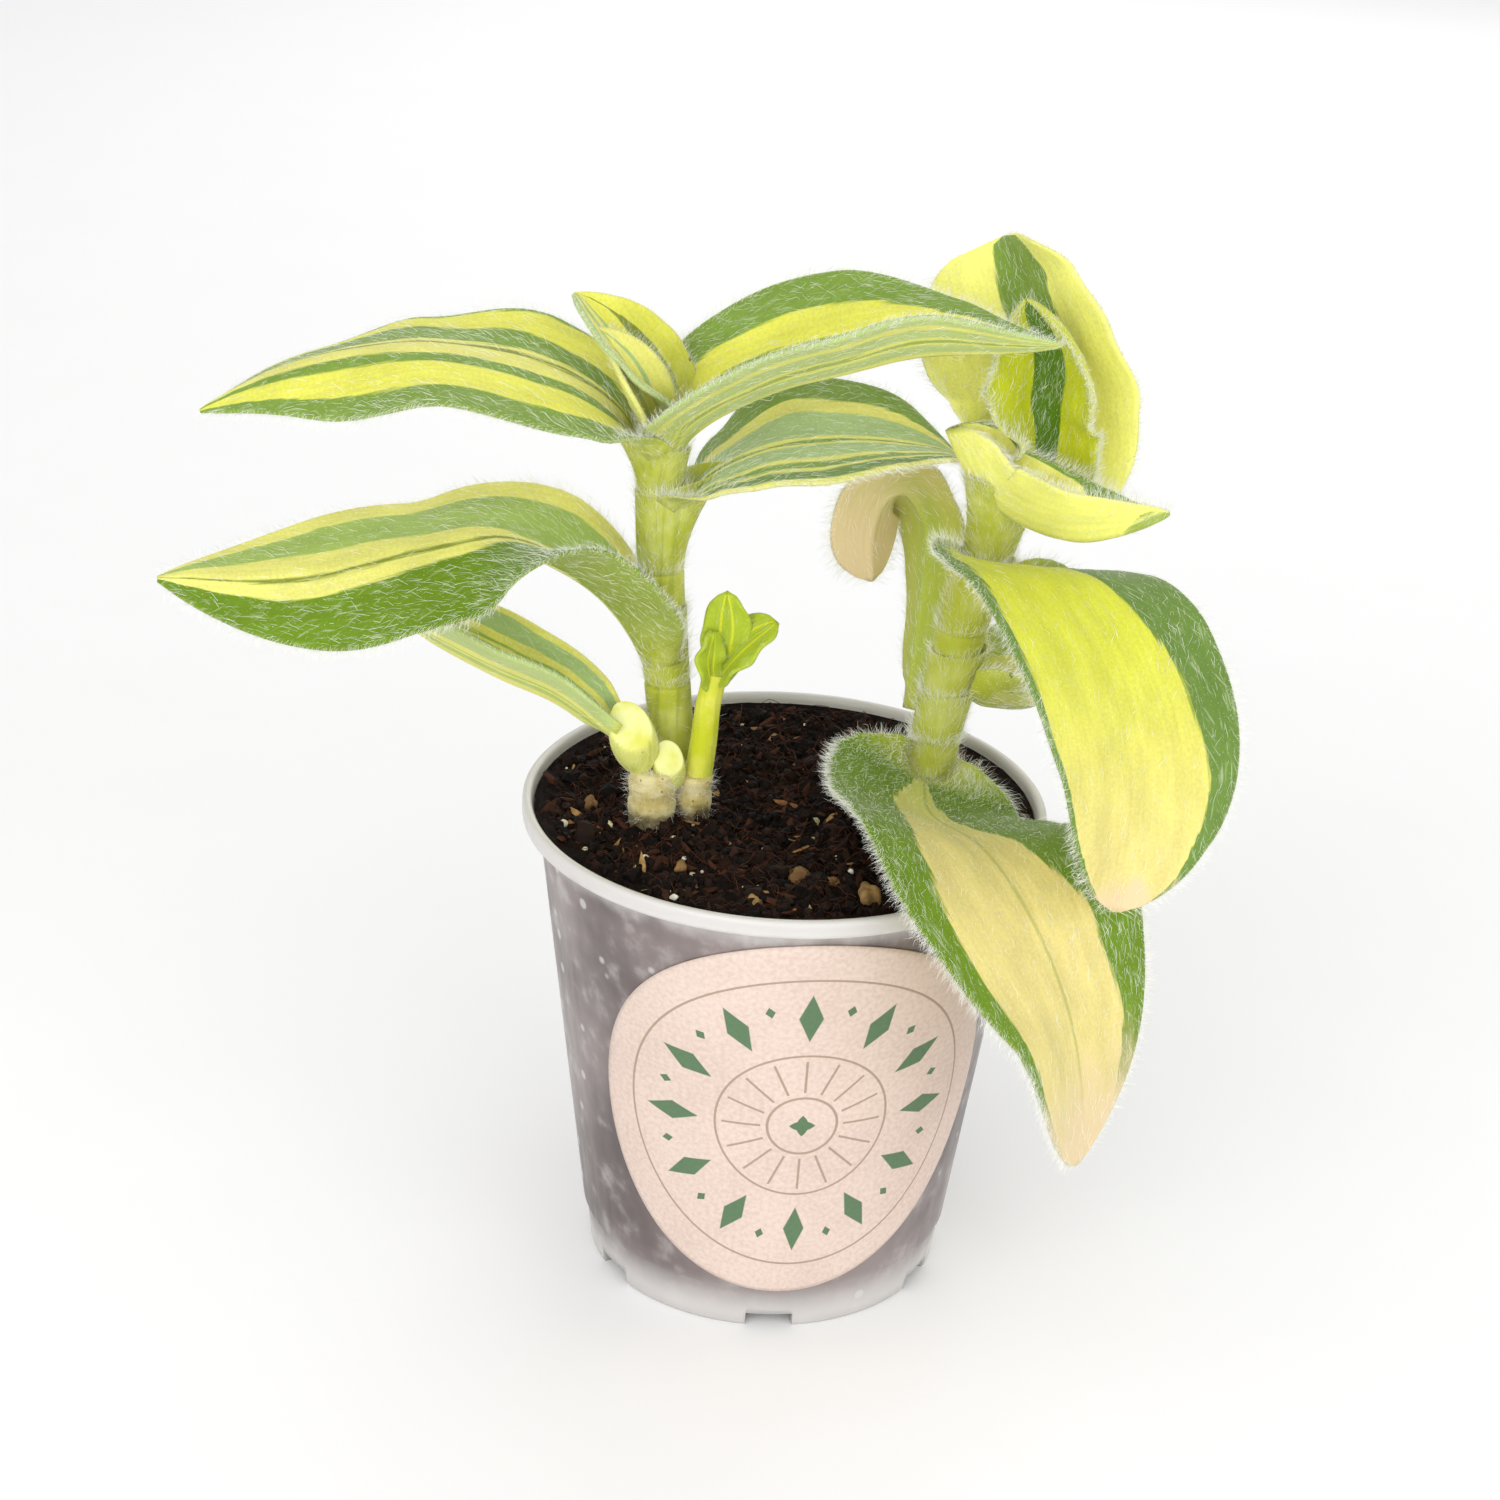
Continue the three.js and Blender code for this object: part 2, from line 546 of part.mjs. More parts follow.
// The side shoot: its piece of old cane, a cut scale, a soft stem and three small leaves
function makeSideShoot(grow = 0) {
  const cane = upright(SHOOT_CANE_RADIUS + grow, ROOTED_FROM - grow, SHOOT_CANE_TOP + grow);
  const scale = egg([-14.4, -4.4, 68.7], [2 + grow, 1.9 + grow, 3.4 + grow], -0.12);
  let shoot = solidOf(cane.translate(...SHOOT_CANE_PLACE, 0)).add(solidOf(scale));
  shoot = shoot.add(solidOf(rod(SHOOT_STEM, SHOOT_STEM_RADIUS + grow, 6, 8)));
  for (const blade of SHOOT_LEAVES) {
    const leaf = { roll: [0, 0], fold: [30, 20], curl: [0, 0], base: 0.45, belly: 0.55, tip: 0.5, ...blade };
    shoot = shoot.add(makeBlade(leaf, grow, 7, 2));
  }
  return shoot;
}

const group = new THREE.Group();

function place(name, solid, material) {
  const mesh = new THREE.Mesh(geometryOf(solid), material);
  mesh.name = name;
  group.add(mesh);
}

// What stands in the soil, and the room that each needs there
const leftStem = solidOf(rod(LEFT_STEM, LEFT_STEM_RADIUS, STEM_STEPS));
const rightStem = solidOf(rod(RIGHT_STEM, RIGHT_STEM_RADIUS, STEM_STEPS));
const deeper = ([first, ...rest]) => [[first[0], first[1], first[2] - GAP], ...rest];
const higher = (points) => {
  const [x, y, z] = points[points.length - 1];
  return [...points.slice(0, -1), [x, y, z + GAP]];
};
const leftRoom = higher(deeper(LEFT_STEM));
const rightRoom = higher(deeper(RIGHT_STEM));

const oldCane = makeOldCane();
const oldLeaf = makeOldLeaf().subtract(makeOldCane(GAP));
const sideShoot = makeSideShoot().subtract(makeOldCane(GAP)).subtract(makeOldLeaf(GAP));

const leftNames = ['left_bud', 'left_leaf_fourth', 'left_leaf_third', 'left_leaf_second', 'left_leaf_lowest'];
const rightNames = [
  'right_young_leaf', 'right_leaf_sixth', 'right_leaf_fifth', 'right_leaf_fourth', 'right_leaf_third',
  'right_leaf_second', 'right_leaf_lowest',
];
const leftLeaves = makeShootLeaves(leftNames, LEFT_STEM, LEFT_STEM_RADIUS, leftRoom);
const rightLeaves = makeShootLeaves(rightNames, RIGHT_STEM, RIGHT_STEM_RADIUS, rightRoom);

let soil = makeSoil();
for (const room of [
  solidOf(rod(leftRoom, LEFT_STEM_RADIUS + GAP, STEM_STEPS)),
  solidOf(rod(rightRoom, RIGHT_STEM_RADIUS + GAP, STEM_STEPS)),
  makeOldCane(GAP),
  makeSideShoot(GAP),
]) {
  soil = soil.subtract(room);
}

place('pot', makePot(), POT_PLASTIC);
place('label', makeLabel(), LABEL_PAPER);
place('soil', soil, SOIL_EARTH);
place('left_stem', leftStem, STEM_SKIN);
place('right_stem', rightStem, STEM_SKIN);
place('left_old_cane', oldCane, OLD_CANE_SKIN);
place('left_old_leaf', oldLeaf, LEAF_SKIN);
place('left_side_shoot', sideShoot, SHOOT_SKIN);
for (const [name, solid] of Object.entries({ ...leftLeaves, ...rightLeaves })) {
  const young = name === 'left_bud' || name === 'right_young_leaf';
  place(name, solid, young ? YOUNG_LEAF_SKIN : LEAF_SKIN);
}

const box = new THREE.Box3().setFromObject(group, true);
group.position.set(-(box.min.x + box.max.x) / 2, -(box.min.y + box.max.y) / 2, 0);

export default group;
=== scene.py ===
"""A potted white velvet tradescantia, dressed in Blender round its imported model.

Lengths in the classes are millimetres, drawn about the pot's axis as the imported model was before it
was centred on its bounding box. They become metres in the shared frame when a mesh is made.
"""

import json
import logging
import math
from collections.abc import Callable
from dataclasses import dataclass, field
from enum import Enum

import bmesh
import bpy
import numpy as np
from mathutils import Matrix, Vector

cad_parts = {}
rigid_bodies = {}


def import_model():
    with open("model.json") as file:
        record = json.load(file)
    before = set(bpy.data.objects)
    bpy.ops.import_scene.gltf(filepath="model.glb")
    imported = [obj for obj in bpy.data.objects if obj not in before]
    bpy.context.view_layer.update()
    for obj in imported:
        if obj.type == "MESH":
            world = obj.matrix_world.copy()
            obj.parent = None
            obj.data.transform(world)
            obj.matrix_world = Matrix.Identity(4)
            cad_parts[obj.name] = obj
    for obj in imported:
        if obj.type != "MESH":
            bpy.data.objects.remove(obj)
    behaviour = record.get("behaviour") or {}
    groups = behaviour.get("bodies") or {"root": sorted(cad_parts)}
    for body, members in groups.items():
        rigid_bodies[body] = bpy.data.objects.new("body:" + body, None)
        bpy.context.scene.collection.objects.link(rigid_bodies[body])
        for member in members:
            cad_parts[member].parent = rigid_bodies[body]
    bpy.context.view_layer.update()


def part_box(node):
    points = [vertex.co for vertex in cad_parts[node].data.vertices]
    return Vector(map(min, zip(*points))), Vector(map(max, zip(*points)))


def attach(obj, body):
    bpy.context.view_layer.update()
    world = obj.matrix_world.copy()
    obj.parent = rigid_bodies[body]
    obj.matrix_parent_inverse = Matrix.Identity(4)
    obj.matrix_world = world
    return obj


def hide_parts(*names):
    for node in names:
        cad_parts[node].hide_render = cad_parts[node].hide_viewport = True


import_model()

logging.basicConfig(level=logging.INFO, format="%(message)s")
log = logging.getLogger("tradescantia")

MM = 0.001
ROOT = "root"
POT_LOW, POT_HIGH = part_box("pot")
AXIS = np.array([(POT_LOW.x + POT_HIGH.x) / 2, (POT_LOW.y + POT_HIGH.y) / 2, 0.0])

# Driving dimensions shared by several pieces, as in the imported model
POT_HEIGHT = 63.0
RIM_BAND = 2.4
RIM_RADIUS = 32.5
WALL_TOP_RADIUS = 30.5
FOOT_RADIUS = 22.7
ROOTED_FROM = 45.0
CANE_BARE_TO = 61.5
STEM_BARE_TO = 60.5
CREASE = 0.12
CLASP_ANGLE = math.radians(110)
CUT_WAY = (0.1, -0.78, 0.62)
CUT_FLATNESS = 0.94

Points = np.ndarray
Socket = bpy.types.NodeSocket
Material = bpy.types.Material
Piece = bpy.types.Object
Loose = bpy.types.Collection
Triple = tuple[float, float, float]
Pair = tuple[float, float]
Steps = tuple[float, ...]
Faces = list[tuple[int, ...]]
TURN = 2 * math.pi


class Paint(Enum):
    """The colours that the plant, the pot and the soil are painted with, as sRGB."""

    SAGE = "79963a"
    SAGE_LIGHT = "a3ba7c"
    MEADOW = "66860e"
    MEADOW_LIGHT = "9ab356"
    OLIVE = "7d8a2e"
    FOREST = "678536"
    MOSS = "587f16"
    BUTTER = "dbd874"
    LEMON = "dbda58"
    LEMON_PALE = "efed80"
    CHARTREUSE = "c6cc24"
    LIME = "a2b42a"
    CREAM = "d9cb80"
    STRAW = "d8cd98"
    BEIGE = "dcc79c"
    CUT = "e9eaa2"
    BUFF = "bfae66"
    SHEATH = "b0b635"
    SHEATH_PALE = "c8cc6c"
    DOWN = "cdd6b4"
    WOOL = "f7f7f0"
    SPECK = "4a3a26"
    SOIL_DARK = "0b0706"
    SOIL_BROWN = "291810"
    SOIL_RED = "4a2a1b"
    BARK = "a98856"
    BARK_ORANGE = "7d4a2c"
    PERLITE = "d9d6cd"
    PLASTIC = "887c7a"
    PLASTIC_DARK = "544948"
    PLASTIC_PALE = "cfccc9"
    PAPER = "d9c6ba"
    PAPER_FLECK = "c9b4a8"
    INK_GREEN = "3f6a44"
    INK_BROWN = "9a8472"
    FLOOR = "f6f6f6"

    @property
    def linear(self) -> tuple[float, float, float, float]:
        """The colour as linear RGBA for a shader."""
        channels = [int(self.value[k : k + 2], 16) / 255 for k in (0, 2, 4)]
        straight = [c / 12.92 if c <= 0.04045 else ((c + 0.055) / 1.055) ** 2.4 for c in channels]
        return (*straight, 1.0)


GREENS = {
    Paint.SAGE, Paint.MEADOW, Paint.OLIVE, Paint.FOREST, Paint.MOSS, Paint.MEADOW_LIGHT, Paint.SAGE_LIGHT,
}


class Wiring:
    """Adds nodes to one tree and joins them."""

    def __init__(self, tree: bpy.types.NodeTree) -> None:
        """Args:
        tree: the shader or geometry tree to build in.
        """
        self.tree = tree

    def node(self, kind: str, inputs: dict | None = None, **settings: object) -> bpy.types.Node:
        """Adds a node.

        Args:
            kind: Blender's name for the node type.
            inputs: values, sockets or nodes for its inputs, by name or by number.
            **settings: properties of the node.

        Returns:
            The new node.
        """
        made = self.tree.nodes.new(kind)
        for name, value in settings.items():
            setattr(made, name, value)
        for key, value in (inputs or {}).items():
            self.feed(made, key, value)
        return made

    def feed(self, node: bpy.types.Node, key: str | int, value: object) -> None:
        """Sets or links one input, which is named or numbered among the enabled ones.

        Args:
            node: the node whose input it is.
            key: the input's name, or its number among those in use.
            value: a socket or node to link from, or a plain value.
        """
        shown = [socket for socket in node.inputs if socket.enabled]
        socket = shown[key] if isinstance(key, int) else next(s for s in shown if s.name == key)
        if isinstance(value, bpy.types.Node):
            value = self.out(value)
        if isinstance(value, Socket):
            self.tree.links.new(value, socket)
        else:
            socket.default_value = value

    def out(self, node: bpy.types.Node, name: str | None = None) -> Socket:
        """The first output in use, or the one with a name."""
        return next(s for s in node.outputs if s.enabled and name in (None, s.name))

    def made(self, kind: str, inputs: dict | None = None, **settings: object) -> Socket:
        """The first output of a new node."""
        return self.out(self.node(kind, inputs, **settings))

    def math(self, operation: str, first: object, second: object = 0.0) -> Socket:
        """One arithmetic step on numbers or sockets."""
        inputs = {0: first} if operation in ("FRACT", "ABSOLUTE", "SQRT") else {0: first, 1: second}
        return self.made("ShaderNodeMath", inputs, operation=operation)

    def times(self, first: object, second: object) -> Socket:
        """One number times another."""
        return self.math("MULTIPLY", first, second)

    def plus(self, first: object, second: object) -> Socket:
        """One number and another together."""
        return self.math("ADD", first, second)

    def minus(self, first: object, second: object) -> Socket:
        """One number less another."""
        return self.math("SUBTRACT", first, second)

    def larger(self, first: object, second: object) -> Socket:
        """The larger of two numbers."""
        return self.math("MAXIMUM", first, second)

    def drawn(self, low: object, high: object, seed: object) -> Socket:
        """A number, or a vector, drawn evenly between two for each point or instance."""
        kind = "FLOAT_VECTOR" if isinstance(low, tuple) else "FLOAT"
        return self.made("FunctionNodeRandomValue", {0: low, 1: high, "Seed": seed}, data_type=kind)

    def stored(self, name: str, kind: str = "FLOAT") -> Socket:
        """What a piece carries on its points under a name."""
        return self.made("GeometryNodeInputNamedAttribute", {"Name": name}, data_type=kind)

    def vector(self, operation: str, inputs: dict) -> Socket:
        """One step of vector arithmetic."""
        return self.made("ShaderNodeVectorMath", inputs, operation=operation)

    def spread(
        self, value: object, low: float, high: float, to_low: float = 0.0, to_high: float = 1.0,
    ) -> Socket:
        """A value mapped smoothly from one range to another, and held at its ends."""
        inputs = {"Value": value, "From Min": low, "From Max": high, "To Min": to_low, "To Max": to_high}
        return self.made("ShaderNodeMapRange", inputs, interpolation_type="SMOOTHSTEP")


class ShaderWiring(Wiring):
    """Wires one finish as a node material."""

    def __init__(self, name: str) -> None:
        """Args:
        name: the material's name.
        """
        self.material = bpy.data.materials.new(name)
        self.material.use_nodes = True
        super().__init__(self.material.node_tree)
        self.tree.nodes.clear()
        self.shader = self.node("ShaderNodeBsdfPrincipled")
        self.node("ShaderNodeOutputMaterial", {"Surface": self.out(self.shader)})

    def place(self) -> Socket:
        """The point on the piece, in metres."""
        return self.out(self.node("ShaderNodeTexCoord"), "Object")

    def place_mm(self) -> Socket:
        """The point on the piece, in millimetres."""
        return self.stretched(self.place(), (1 / MM, 1 / MM, 1 / MM))

    def map(self, name: str) -> Socket:
        """One of the piece's own UV maps."""
        return self.out(self.node("ShaderNodeUVMap", uv_map=name), "UV")

    def attribute(self, name: str) -> Socket:
        """A number stored on the piece's points."""
        return self.out(self.node("ShaderNodeAttribute", attribute_name=name), "Fac")

    def split(self, vector: Socket) -> list[Socket]:
        """The X, Y and Z of a vector."""
        made = self.node("ShaderNodeSeparateXYZ", {"Vector": vector})
        return [self.out(made, axis) for axis in "XYZ"]

    def stretched(self, vector: Socket, scale: Triple) -> Socket:
        """A vector scaled along each axis."""
        return self.made("ShaderNodeMapping", {"Vector": vector, "Scale": scale})

    def noise(self, vector: Socket, scale: float, detail: float = 3.0, rough: float = 0.55) -> Socket:
        """Cloudy noise between 0 and 1."""
        inputs = {"Vector": vector, "Scale": scale, "Detail": detail, "Roughness": rough}
        return self.out(self.node("ShaderNodeTexNoise", inputs), "Fac")

    def cells(self, vector: Socket, scale: float) -> tuple[Socket, Socket]:
        """Distance to the nearest of scattered points, and a number drawn for each."""
        made = self.node("ShaderNodeTexVoronoi", {"Vector": vector, "Scale": scale})
        drawn = self.split(self.out(made, "Color"))[0]
        return self.out(made, "Distance"), drawn

    def streaks(self, vector: Socket, scale: Triple, detail: float) -> Socket:
        """Noise drawn out along the axes whose scale is small."""
        return self.noise(self.stretched(vector, scale), 1.0, detail)

    def specks(self, vector: Socket, scale: float, size: float, rare: float) -> Socket:
        """Scattered dots, at the points whose drawn number is above the last value: 1 on a dot."""
        distance, drawn = self.cells(vector, scale)
        return self.times(self.math("LESS_THAN", distance, size), self.math("GREATER_THAN", drawn, rare))

    def mix(self, share: object, first: object, second: object, blend: str = "MIX") -> Socket:
        """Two colours mixed by a share."""
        made = self.node("ShaderNodeMix", data_type="RGBA", blend_type=blend)
        for key, value in (("Factor", share), ("A", first), ("B", second)):
            self.feed(made, key, value.linear if isinstance(value, Paint) else value)
        return self.out(made, "Result")

    def tint(self, colour: Socket, share: object, most: float, paint: Paint) -> Socket:
        """A colour taken towards a paint by a share, and at most so far."""
        return self.mix(self.times(share, most), colour, paint)

    def brightened(self, colour: Socket, value: object) -> Socket:
        """A colour whose brightness is multiplied by a number."""
        return self.made("ShaderNodeHueSaturation", {"Color": colour, "Value": value})

    def bump(self, height: Socket, strength: float, depth: float, over: Socket | None = None) -> Socket:
        """A normal bent by a height, on top of an earlier one."""
        made = self.node("ShaderNodeBump", {"Height": height, "Strength": strength, "Distance": depth * MM})
        if over:
            self.feed(made, "Normal", over)
        return self.out(made)

    def flesh(self, body: Paint, streak: Paint, pale: Paint, streaked: float) -> Socket:
        """The colour of a stem and its sheaths: pale clouds under streaks that run upwards."""
        surface = self.place_mm()
        lines = self.streaks(surface, (1.3, 1.3, 0.07), 4)
        colour = self.mix(self.spread(self.noise(surface, 0.25, 3), 0.35, 0.7), body, pale)
        return self.mix(self.times(self.spread(lines, 0.48, 0.72), streaked), colour, streak)

    def set(self, **values: object) -> None:
        """Sets or links the shader's own inputs, with underscores for the spaces in their names."""
        for name, value in values.items():
            self.feed(self.shader, name.replace("_", " "), value)


def smooth(values: Points | float) -> Points:
    """An ease from 0 to 1."""
    held = np.clip(values, 0, 1)
    return held * held * (3 - 2 * held)


def along(values: Steps, s: Points) -> Points:
    """A smooth value between the listed ones, which stand at equal steps from 0 to 1."""
    listed = np.asarray(values, float)
    place = np.clip(s, 0, 1) * (len(listed) - 1)
    k = np.minimum(place.astype(int), len(listed) - 2)
    return listed[k] + (listed[k + 1] - listed[k]) * smooth(place - k)


def turn(vectors: Points, axes: Points, angles: Points) -> Points:
    """Vectors turned about unit axes by angles in radians."""
    c, s = np.cos(angles)[..., None], np.sin(angles)[..., None]
    dot = np.sum(axes * vectors, axis=-1, keepdims=True)
    return vectors * c + np.cross(axes, vectors) * s + axes * dot * (1 - c)


def unit(vectors: Points) -> Points:
    """Vectors at length 1."""
    return vectors / np.maximum(np.linalg.norm(vectors, axis=-1, keepdims=True), 1e-9)


class Spine:
    """A smooth path through points, read by its share of the length."""

    def __init__(self, points: tuple) -> None:
        """Args:
        points: the points that the path runs through, in millimetres.
        """
        self.points = np.asarray(points, float)
        fine = np.linspace(0, 1, 401)
        steps = np.linalg.norm(np.diff(self.raw(fine), axis=0), axis=1)
        self.lengths = np.concatenate([[0], np.cumsum(steps)])
        self.fine = fine

    def raw(self, t: Points) -> Points:
        """Points at places counted by the listed points."""
        p = self.points
        ends = np.vstack([2 * p[0] - p[1], p, 2 * p[-1] - p[-2]])
        x = np.clip(t, 0, 1) * (len(p) - 1)
        k = np.minimum(x.astype(int), len(p) - 2)
        w = (x - k)[:, None]
        before, a, b, after = ends[k], ends[k + 1], ends[k + 2], ends[k + 3]
        leave, arrive = (b - before) / 2, (after - a) / 2
        square, cube = 3 * (b - a) - 2 * leave - arrive, 2 * (a - b) + leave + arrive
        return a + leave * w + square * w**2 + cube * w**3

    def at(self, s: Points) -> tuple[Points, Points]:
        """Points and unit tangents at shares of the length."""
        t = np.interp(np.asarray(s) * self.lengths[-1], self.lengths, self.fine)
        step = 1e-4
        tangents = self.raw(np.minimum(t + step, 1)) - self.raw(np.maximum(t - step, 0))
        return self.raw(t), unit(tangents)

    def between(self, low: float, high: float, shares: Points) -> Points:
        """Points at shares of the way up between two heights of an upright path."""
        samples = self.raw(self.fine)
        heights = low + (high - low) * shares
        flat = [np.interp(heights, samples[:, 2], samples[:, axis]) for axis in (0, 1)]
        return np.stack([*flat, heights], axis=1)


@dataclass
class Shape:
    """A mesh being put together: its points in millimetres, its faces and what is stored on them."""

    points: list = field(default_factory=list)
    faces: list = field(default_factory=list)
    stored: dict = field(default_factory=dict)
    count: int = 0

    def add(self, points: Points, faces: list, **stored: Points) -> int:
        """Adds points with their faces and stored values.

        Args:
            points: an array of points.
            faces: faces by number among these points.
            **stored: for each name, one value or vector a point.

        Returns:
            The number that the first point got.
        """
        first = self.count
        self.points.append(np.asarray(points, float).reshape(-1, 3))
        self.faces += [tuple(int(k) + first for k in face) for face in faces]
        for name, values in stored.items():
            self.stored.setdefault(name, []).append(np.asarray(values, float))
        self.count += len(self.points[-1])
        return first

    def build(self, name: str, material: Material) -> Piece:
        """Makes the mesh object, in metres in the shared frame.

        Args:
            name: the piece's name.
            material: what it is painted with.

        Returns:
            The object, linked to the scene.
        """
        mesh = bpy.data.meshes.new(name)
        placed = np.concatenate(self.points) * MM + AXIS
        mesh.from_pydata(placed.tolist(), [], self.faces)
        corners = np.empty(len(mesh.loops), np.int32)
        mesh.loops.foreach_get("vertex_index", corners)
        for key, parts in self.stored.items():
            values = np.concatenate(parts)
            if values.ndim == 2 and values.shape[1] == 2:
                layer = mesh.uv_layers.new(name=key)
                layer.data.foreach_set("uv", values[corners].astype(np.float32).ravel())
            else:
                store(mesh, key, values)
        mesh.materials.append(material)
        mesh.shade_smooth()
        mesh.update()
        return linked(name, mesh)


def store(mesh: bpy.types.Mesh, name: str, values: Points) -> None:
    """Stores one value or vector a point on a mesh, under a name."""
    kind, slot = ("FLOAT_VECTOR", "vector") if values.ndim == 2 else ("FLOAT", "value")
    mesh.attributes.new(name, kind, "POINT").data.foreach_set(slot, values.astype(np.float32).ravel())


def one_body(name: str, material: Material, points: Points, faces: list, **stored: Points) -> Piece:
    """A piece that is a single body of points and faces, with what is stored on its points."""
    shape = Shape()
    shape.add(points, faces, **stored)
    return shape.build(name, material)


def linked(name: str, data: bpy.types.ID) -> Piece:
    """A new object in the scene."""
    made = bpy.data.objects.new(name, data)
    bpy.context.scene.collection.objects.link(made)
    return made


def grid_faces(rows: int, columns: int, closed: bool) -> list[tuple[int, int, int, int]]:
    """Faces of a grid of points, listed row by row.

    Args:
        rows: how many rows of points there are.
        columns: how many points a row has.
        closed: whether each row joins up with its own start.

    Returns:
        The faces as numbers of points.
    """
    steps = columns if closed else columns - 1
    faces = []
    for i in range(rows - 1):
        for j in range(steps):
            k = (j + 1) % columns
            faces.append((i * columns + j, i * columns + k, (i + 1) * columns + k, (i + 1) * columns + j))
    return faces


def closed_rings(rings: Points, *poles: tuple) -> tuple[Points, Faces]:
    """A closed body from rings of points, with a pole beyond the first ring and one beyond the last.

    Args:
        rings: an array of rings of points.
        *poles: the two poles.

    Returns:
        Its points and its faces.
    """
    count, sides = rings.shape[:2]
    top, bottom, last = count * sides, count * sides + 1, (count - 1) * sides
    faces = [face[::-1] for face in grid_faces(count, sides, closed=True)]
    faces += [(top, j, (j + 1) % sides) for j in range(sides)]
    faces += [(bottom, last + (j + 1) % sides, last + j) for j in range(sides)]
    return np.vstack([rings.reshape(-1, 3), *poles]), faces


def settle(piece: Piece, slot: str | None, *nodes: str) -> Piece:
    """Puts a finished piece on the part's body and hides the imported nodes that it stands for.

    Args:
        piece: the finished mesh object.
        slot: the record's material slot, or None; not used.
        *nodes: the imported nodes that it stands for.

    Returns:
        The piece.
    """
    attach(piece, ROOT)
    if nodes:
        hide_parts(*nodes)
    triangles = sum(len(face.vertices) - 2 for face in piece.data.polygons)
    log.info("%s: %d triangles", piece.name, triangles)
    return piece


class Grower:
    """A geometry tree with named inputs, whose result is kept as a plain mesh."""

    def __init__(self, name: str, inputs: dict[str, str]) -> None:
        """Args:
        name: the tree's name.
        inputs: for each input, the end of Blender's name for its socket type.
        """
        self.tree = bpy.data.node_groups.new(name, "GeometryNodeTree")
        faces = self.tree.interface
        faces.new_socket("Geometry", in_out="INPUT", socket_type="NodeSocketGeometry")
        faces.new_socket("Geometry", in_out="OUTPUT", socket_type="NodeSocketGeometry")
        for label, kind in inputs.items():
            faces.new_socket(label, in_out="INPUT", socket_type=f"NodeSocket{kind}")
        self.wiring = Wiring(self.tree)
        self.source = self.tree.nodes.new("NodeGroupInput")
        self.sink = self.tree.nodes.new("NodeGroupOutput")
        self.wire()

    def wire(self) -> None:
        """Joins the tree's nodes, which each kind of grower does its own way."""
        raise NotImplementedError

    def given(self, name: str) -> Socket:
        """The tree's own input of that name."""
        return next(s for s in self.source.outputs if s.name == name)

    def placed(self, spots: bpy.types.Node, loose: str, turned: object, size: object) -> Socket:
        """Instances of loose shapes on points.

        Args:
            spots: the node that gives the points.
            loose: the input that holds the collection of shapes, of which one is picked for each point.
            turned: how each is turned.
            size: how each is scaled.

        Returns:
            The instances.
        """
        w = self.wiring
        shapes = w.node("GeometryNodeCollectionInfo", {
            "Collection": self.given(loose), "Separate Children": True, "Reset Children": True,
        })
        return w.made("GeometryNodeInstanceOnPoints", {
            "Points": w.out(spots, "Points"), "Instance": w.out(shapes), "Pick Instance": True,
            "Rotation": turned, "Scale": size,
        })

    def finish(self, instances: Socket) -> None:
        """Ends the tree: instances made real and painted."""
        real = self.wiring.node("GeometryNodeRealizeInstances", {"Geometry": instances})
        painted = {"Geometry": real, "Material": self.given("Material")}
        self.tree.links.new(self.wiring.made("GeometryNodeSetMaterial", painted), self.sink.inputs[0])

    def grow(self, host: Piece, name: str, **values: object) -> Piece:
        """Runs the tree on a copy of a piece.

        Args:
            host: the mesh object that things grow on.
            name: the new piece's name.
            **values: the tree's inputs by name, with underscores for spaces.

        Returns:
            A new object that holds the result as a plain mesh.
        """
        copy = linked(f"{name}_host", host.data)
        modifier = copy.modifiers.new("grower", "NODES")
        modifier.node_group = self.tree
        sockets = {s.name: s.identifier for s in self.tree.interface.items_tree if s.in_out == "INPUT"}
        for label, value in values.items():
            modifier[sockets[label.replace("_", " ")]] = value
        result = bpy.data.meshes.new_from_object(copy.evaluated_get(bpy.context.evaluated_depsgraph_get()))
        bpy.data.objects.remove(copy)
        result.name = name
        return linked(name, result)


class HairGrower(Grower):
    """Woolly hairs scattered over a piece, thick where its fuzz is high and combed along its nap."""

    def __init__(self) -> None:
        """Builds the tree once, for all the pieces."""
        super().__init__("woolly_hairs", {
            "Strands": "Collection", "Density": "Float", "Length": "Float", "Rise": "Float",
            "Lay": "Float", "Wild": "Float", "Seed": "Int", "Material": "Material",
        })

    def wire(self) -> None:
        """Scatters points by density times fuzz, and stands one strand on each."""
        w = self.wiring
        seed = self.given("Seed")
        fuzz, nap = w.stored("fuzz"), w.stored("nap", "FLOAT_VECTOR")
        density = w.times(self.given("Density"), fuzz)
        spots = w.node("GeometryNodeDistributePointsOnFaces", {
            "Mesh": self.given("Geometry"), "Density": density, "Seed": seed,
        }, distribute_method="RANDOM")
        stray = w.drawn((-1, -1, -1), (1, 1, 1), seed)
        way = self.total([(w.out(spots, "Normal"), "Rise"), (nap, "Lay"), (stray, "Wild")])
        aimed = w.node("FunctionNodeAlignRotationToVector", {"Vector": way}, axis="Z")
        spin = w.drawn(0.0, TURN, w.plus(seed, 7))
        about = w.node("FunctionNodeAxisAngleToRotation", {"Axis": (0, 0, 1), "Angle": spin})
        turned = w.made("FunctionNodeRotateRotation", {0: aimed, 1: about}, rotation_space="LOCAL")
        share = w.drawn(0.45, 1.25, w.plus(seed, 3))
        size = w.times(self.given("Length"), share)
        self.finish(self.placed(spots, "Strands", turned, size))

    def total(self, terms: list) -> Socket:
        """A sum of directions, each weighed by one of the tree's inputs."""
        w = self.wiring
        scaled = [w.vector("SCALE", {"Vector": way, "Scale": self.given(name)}) for way, name in terms]
        return w.vector("ADD", {0: w.vector("ADD", {0: scaled[0], 1: scaled[1]}), 1: scaled[2]})


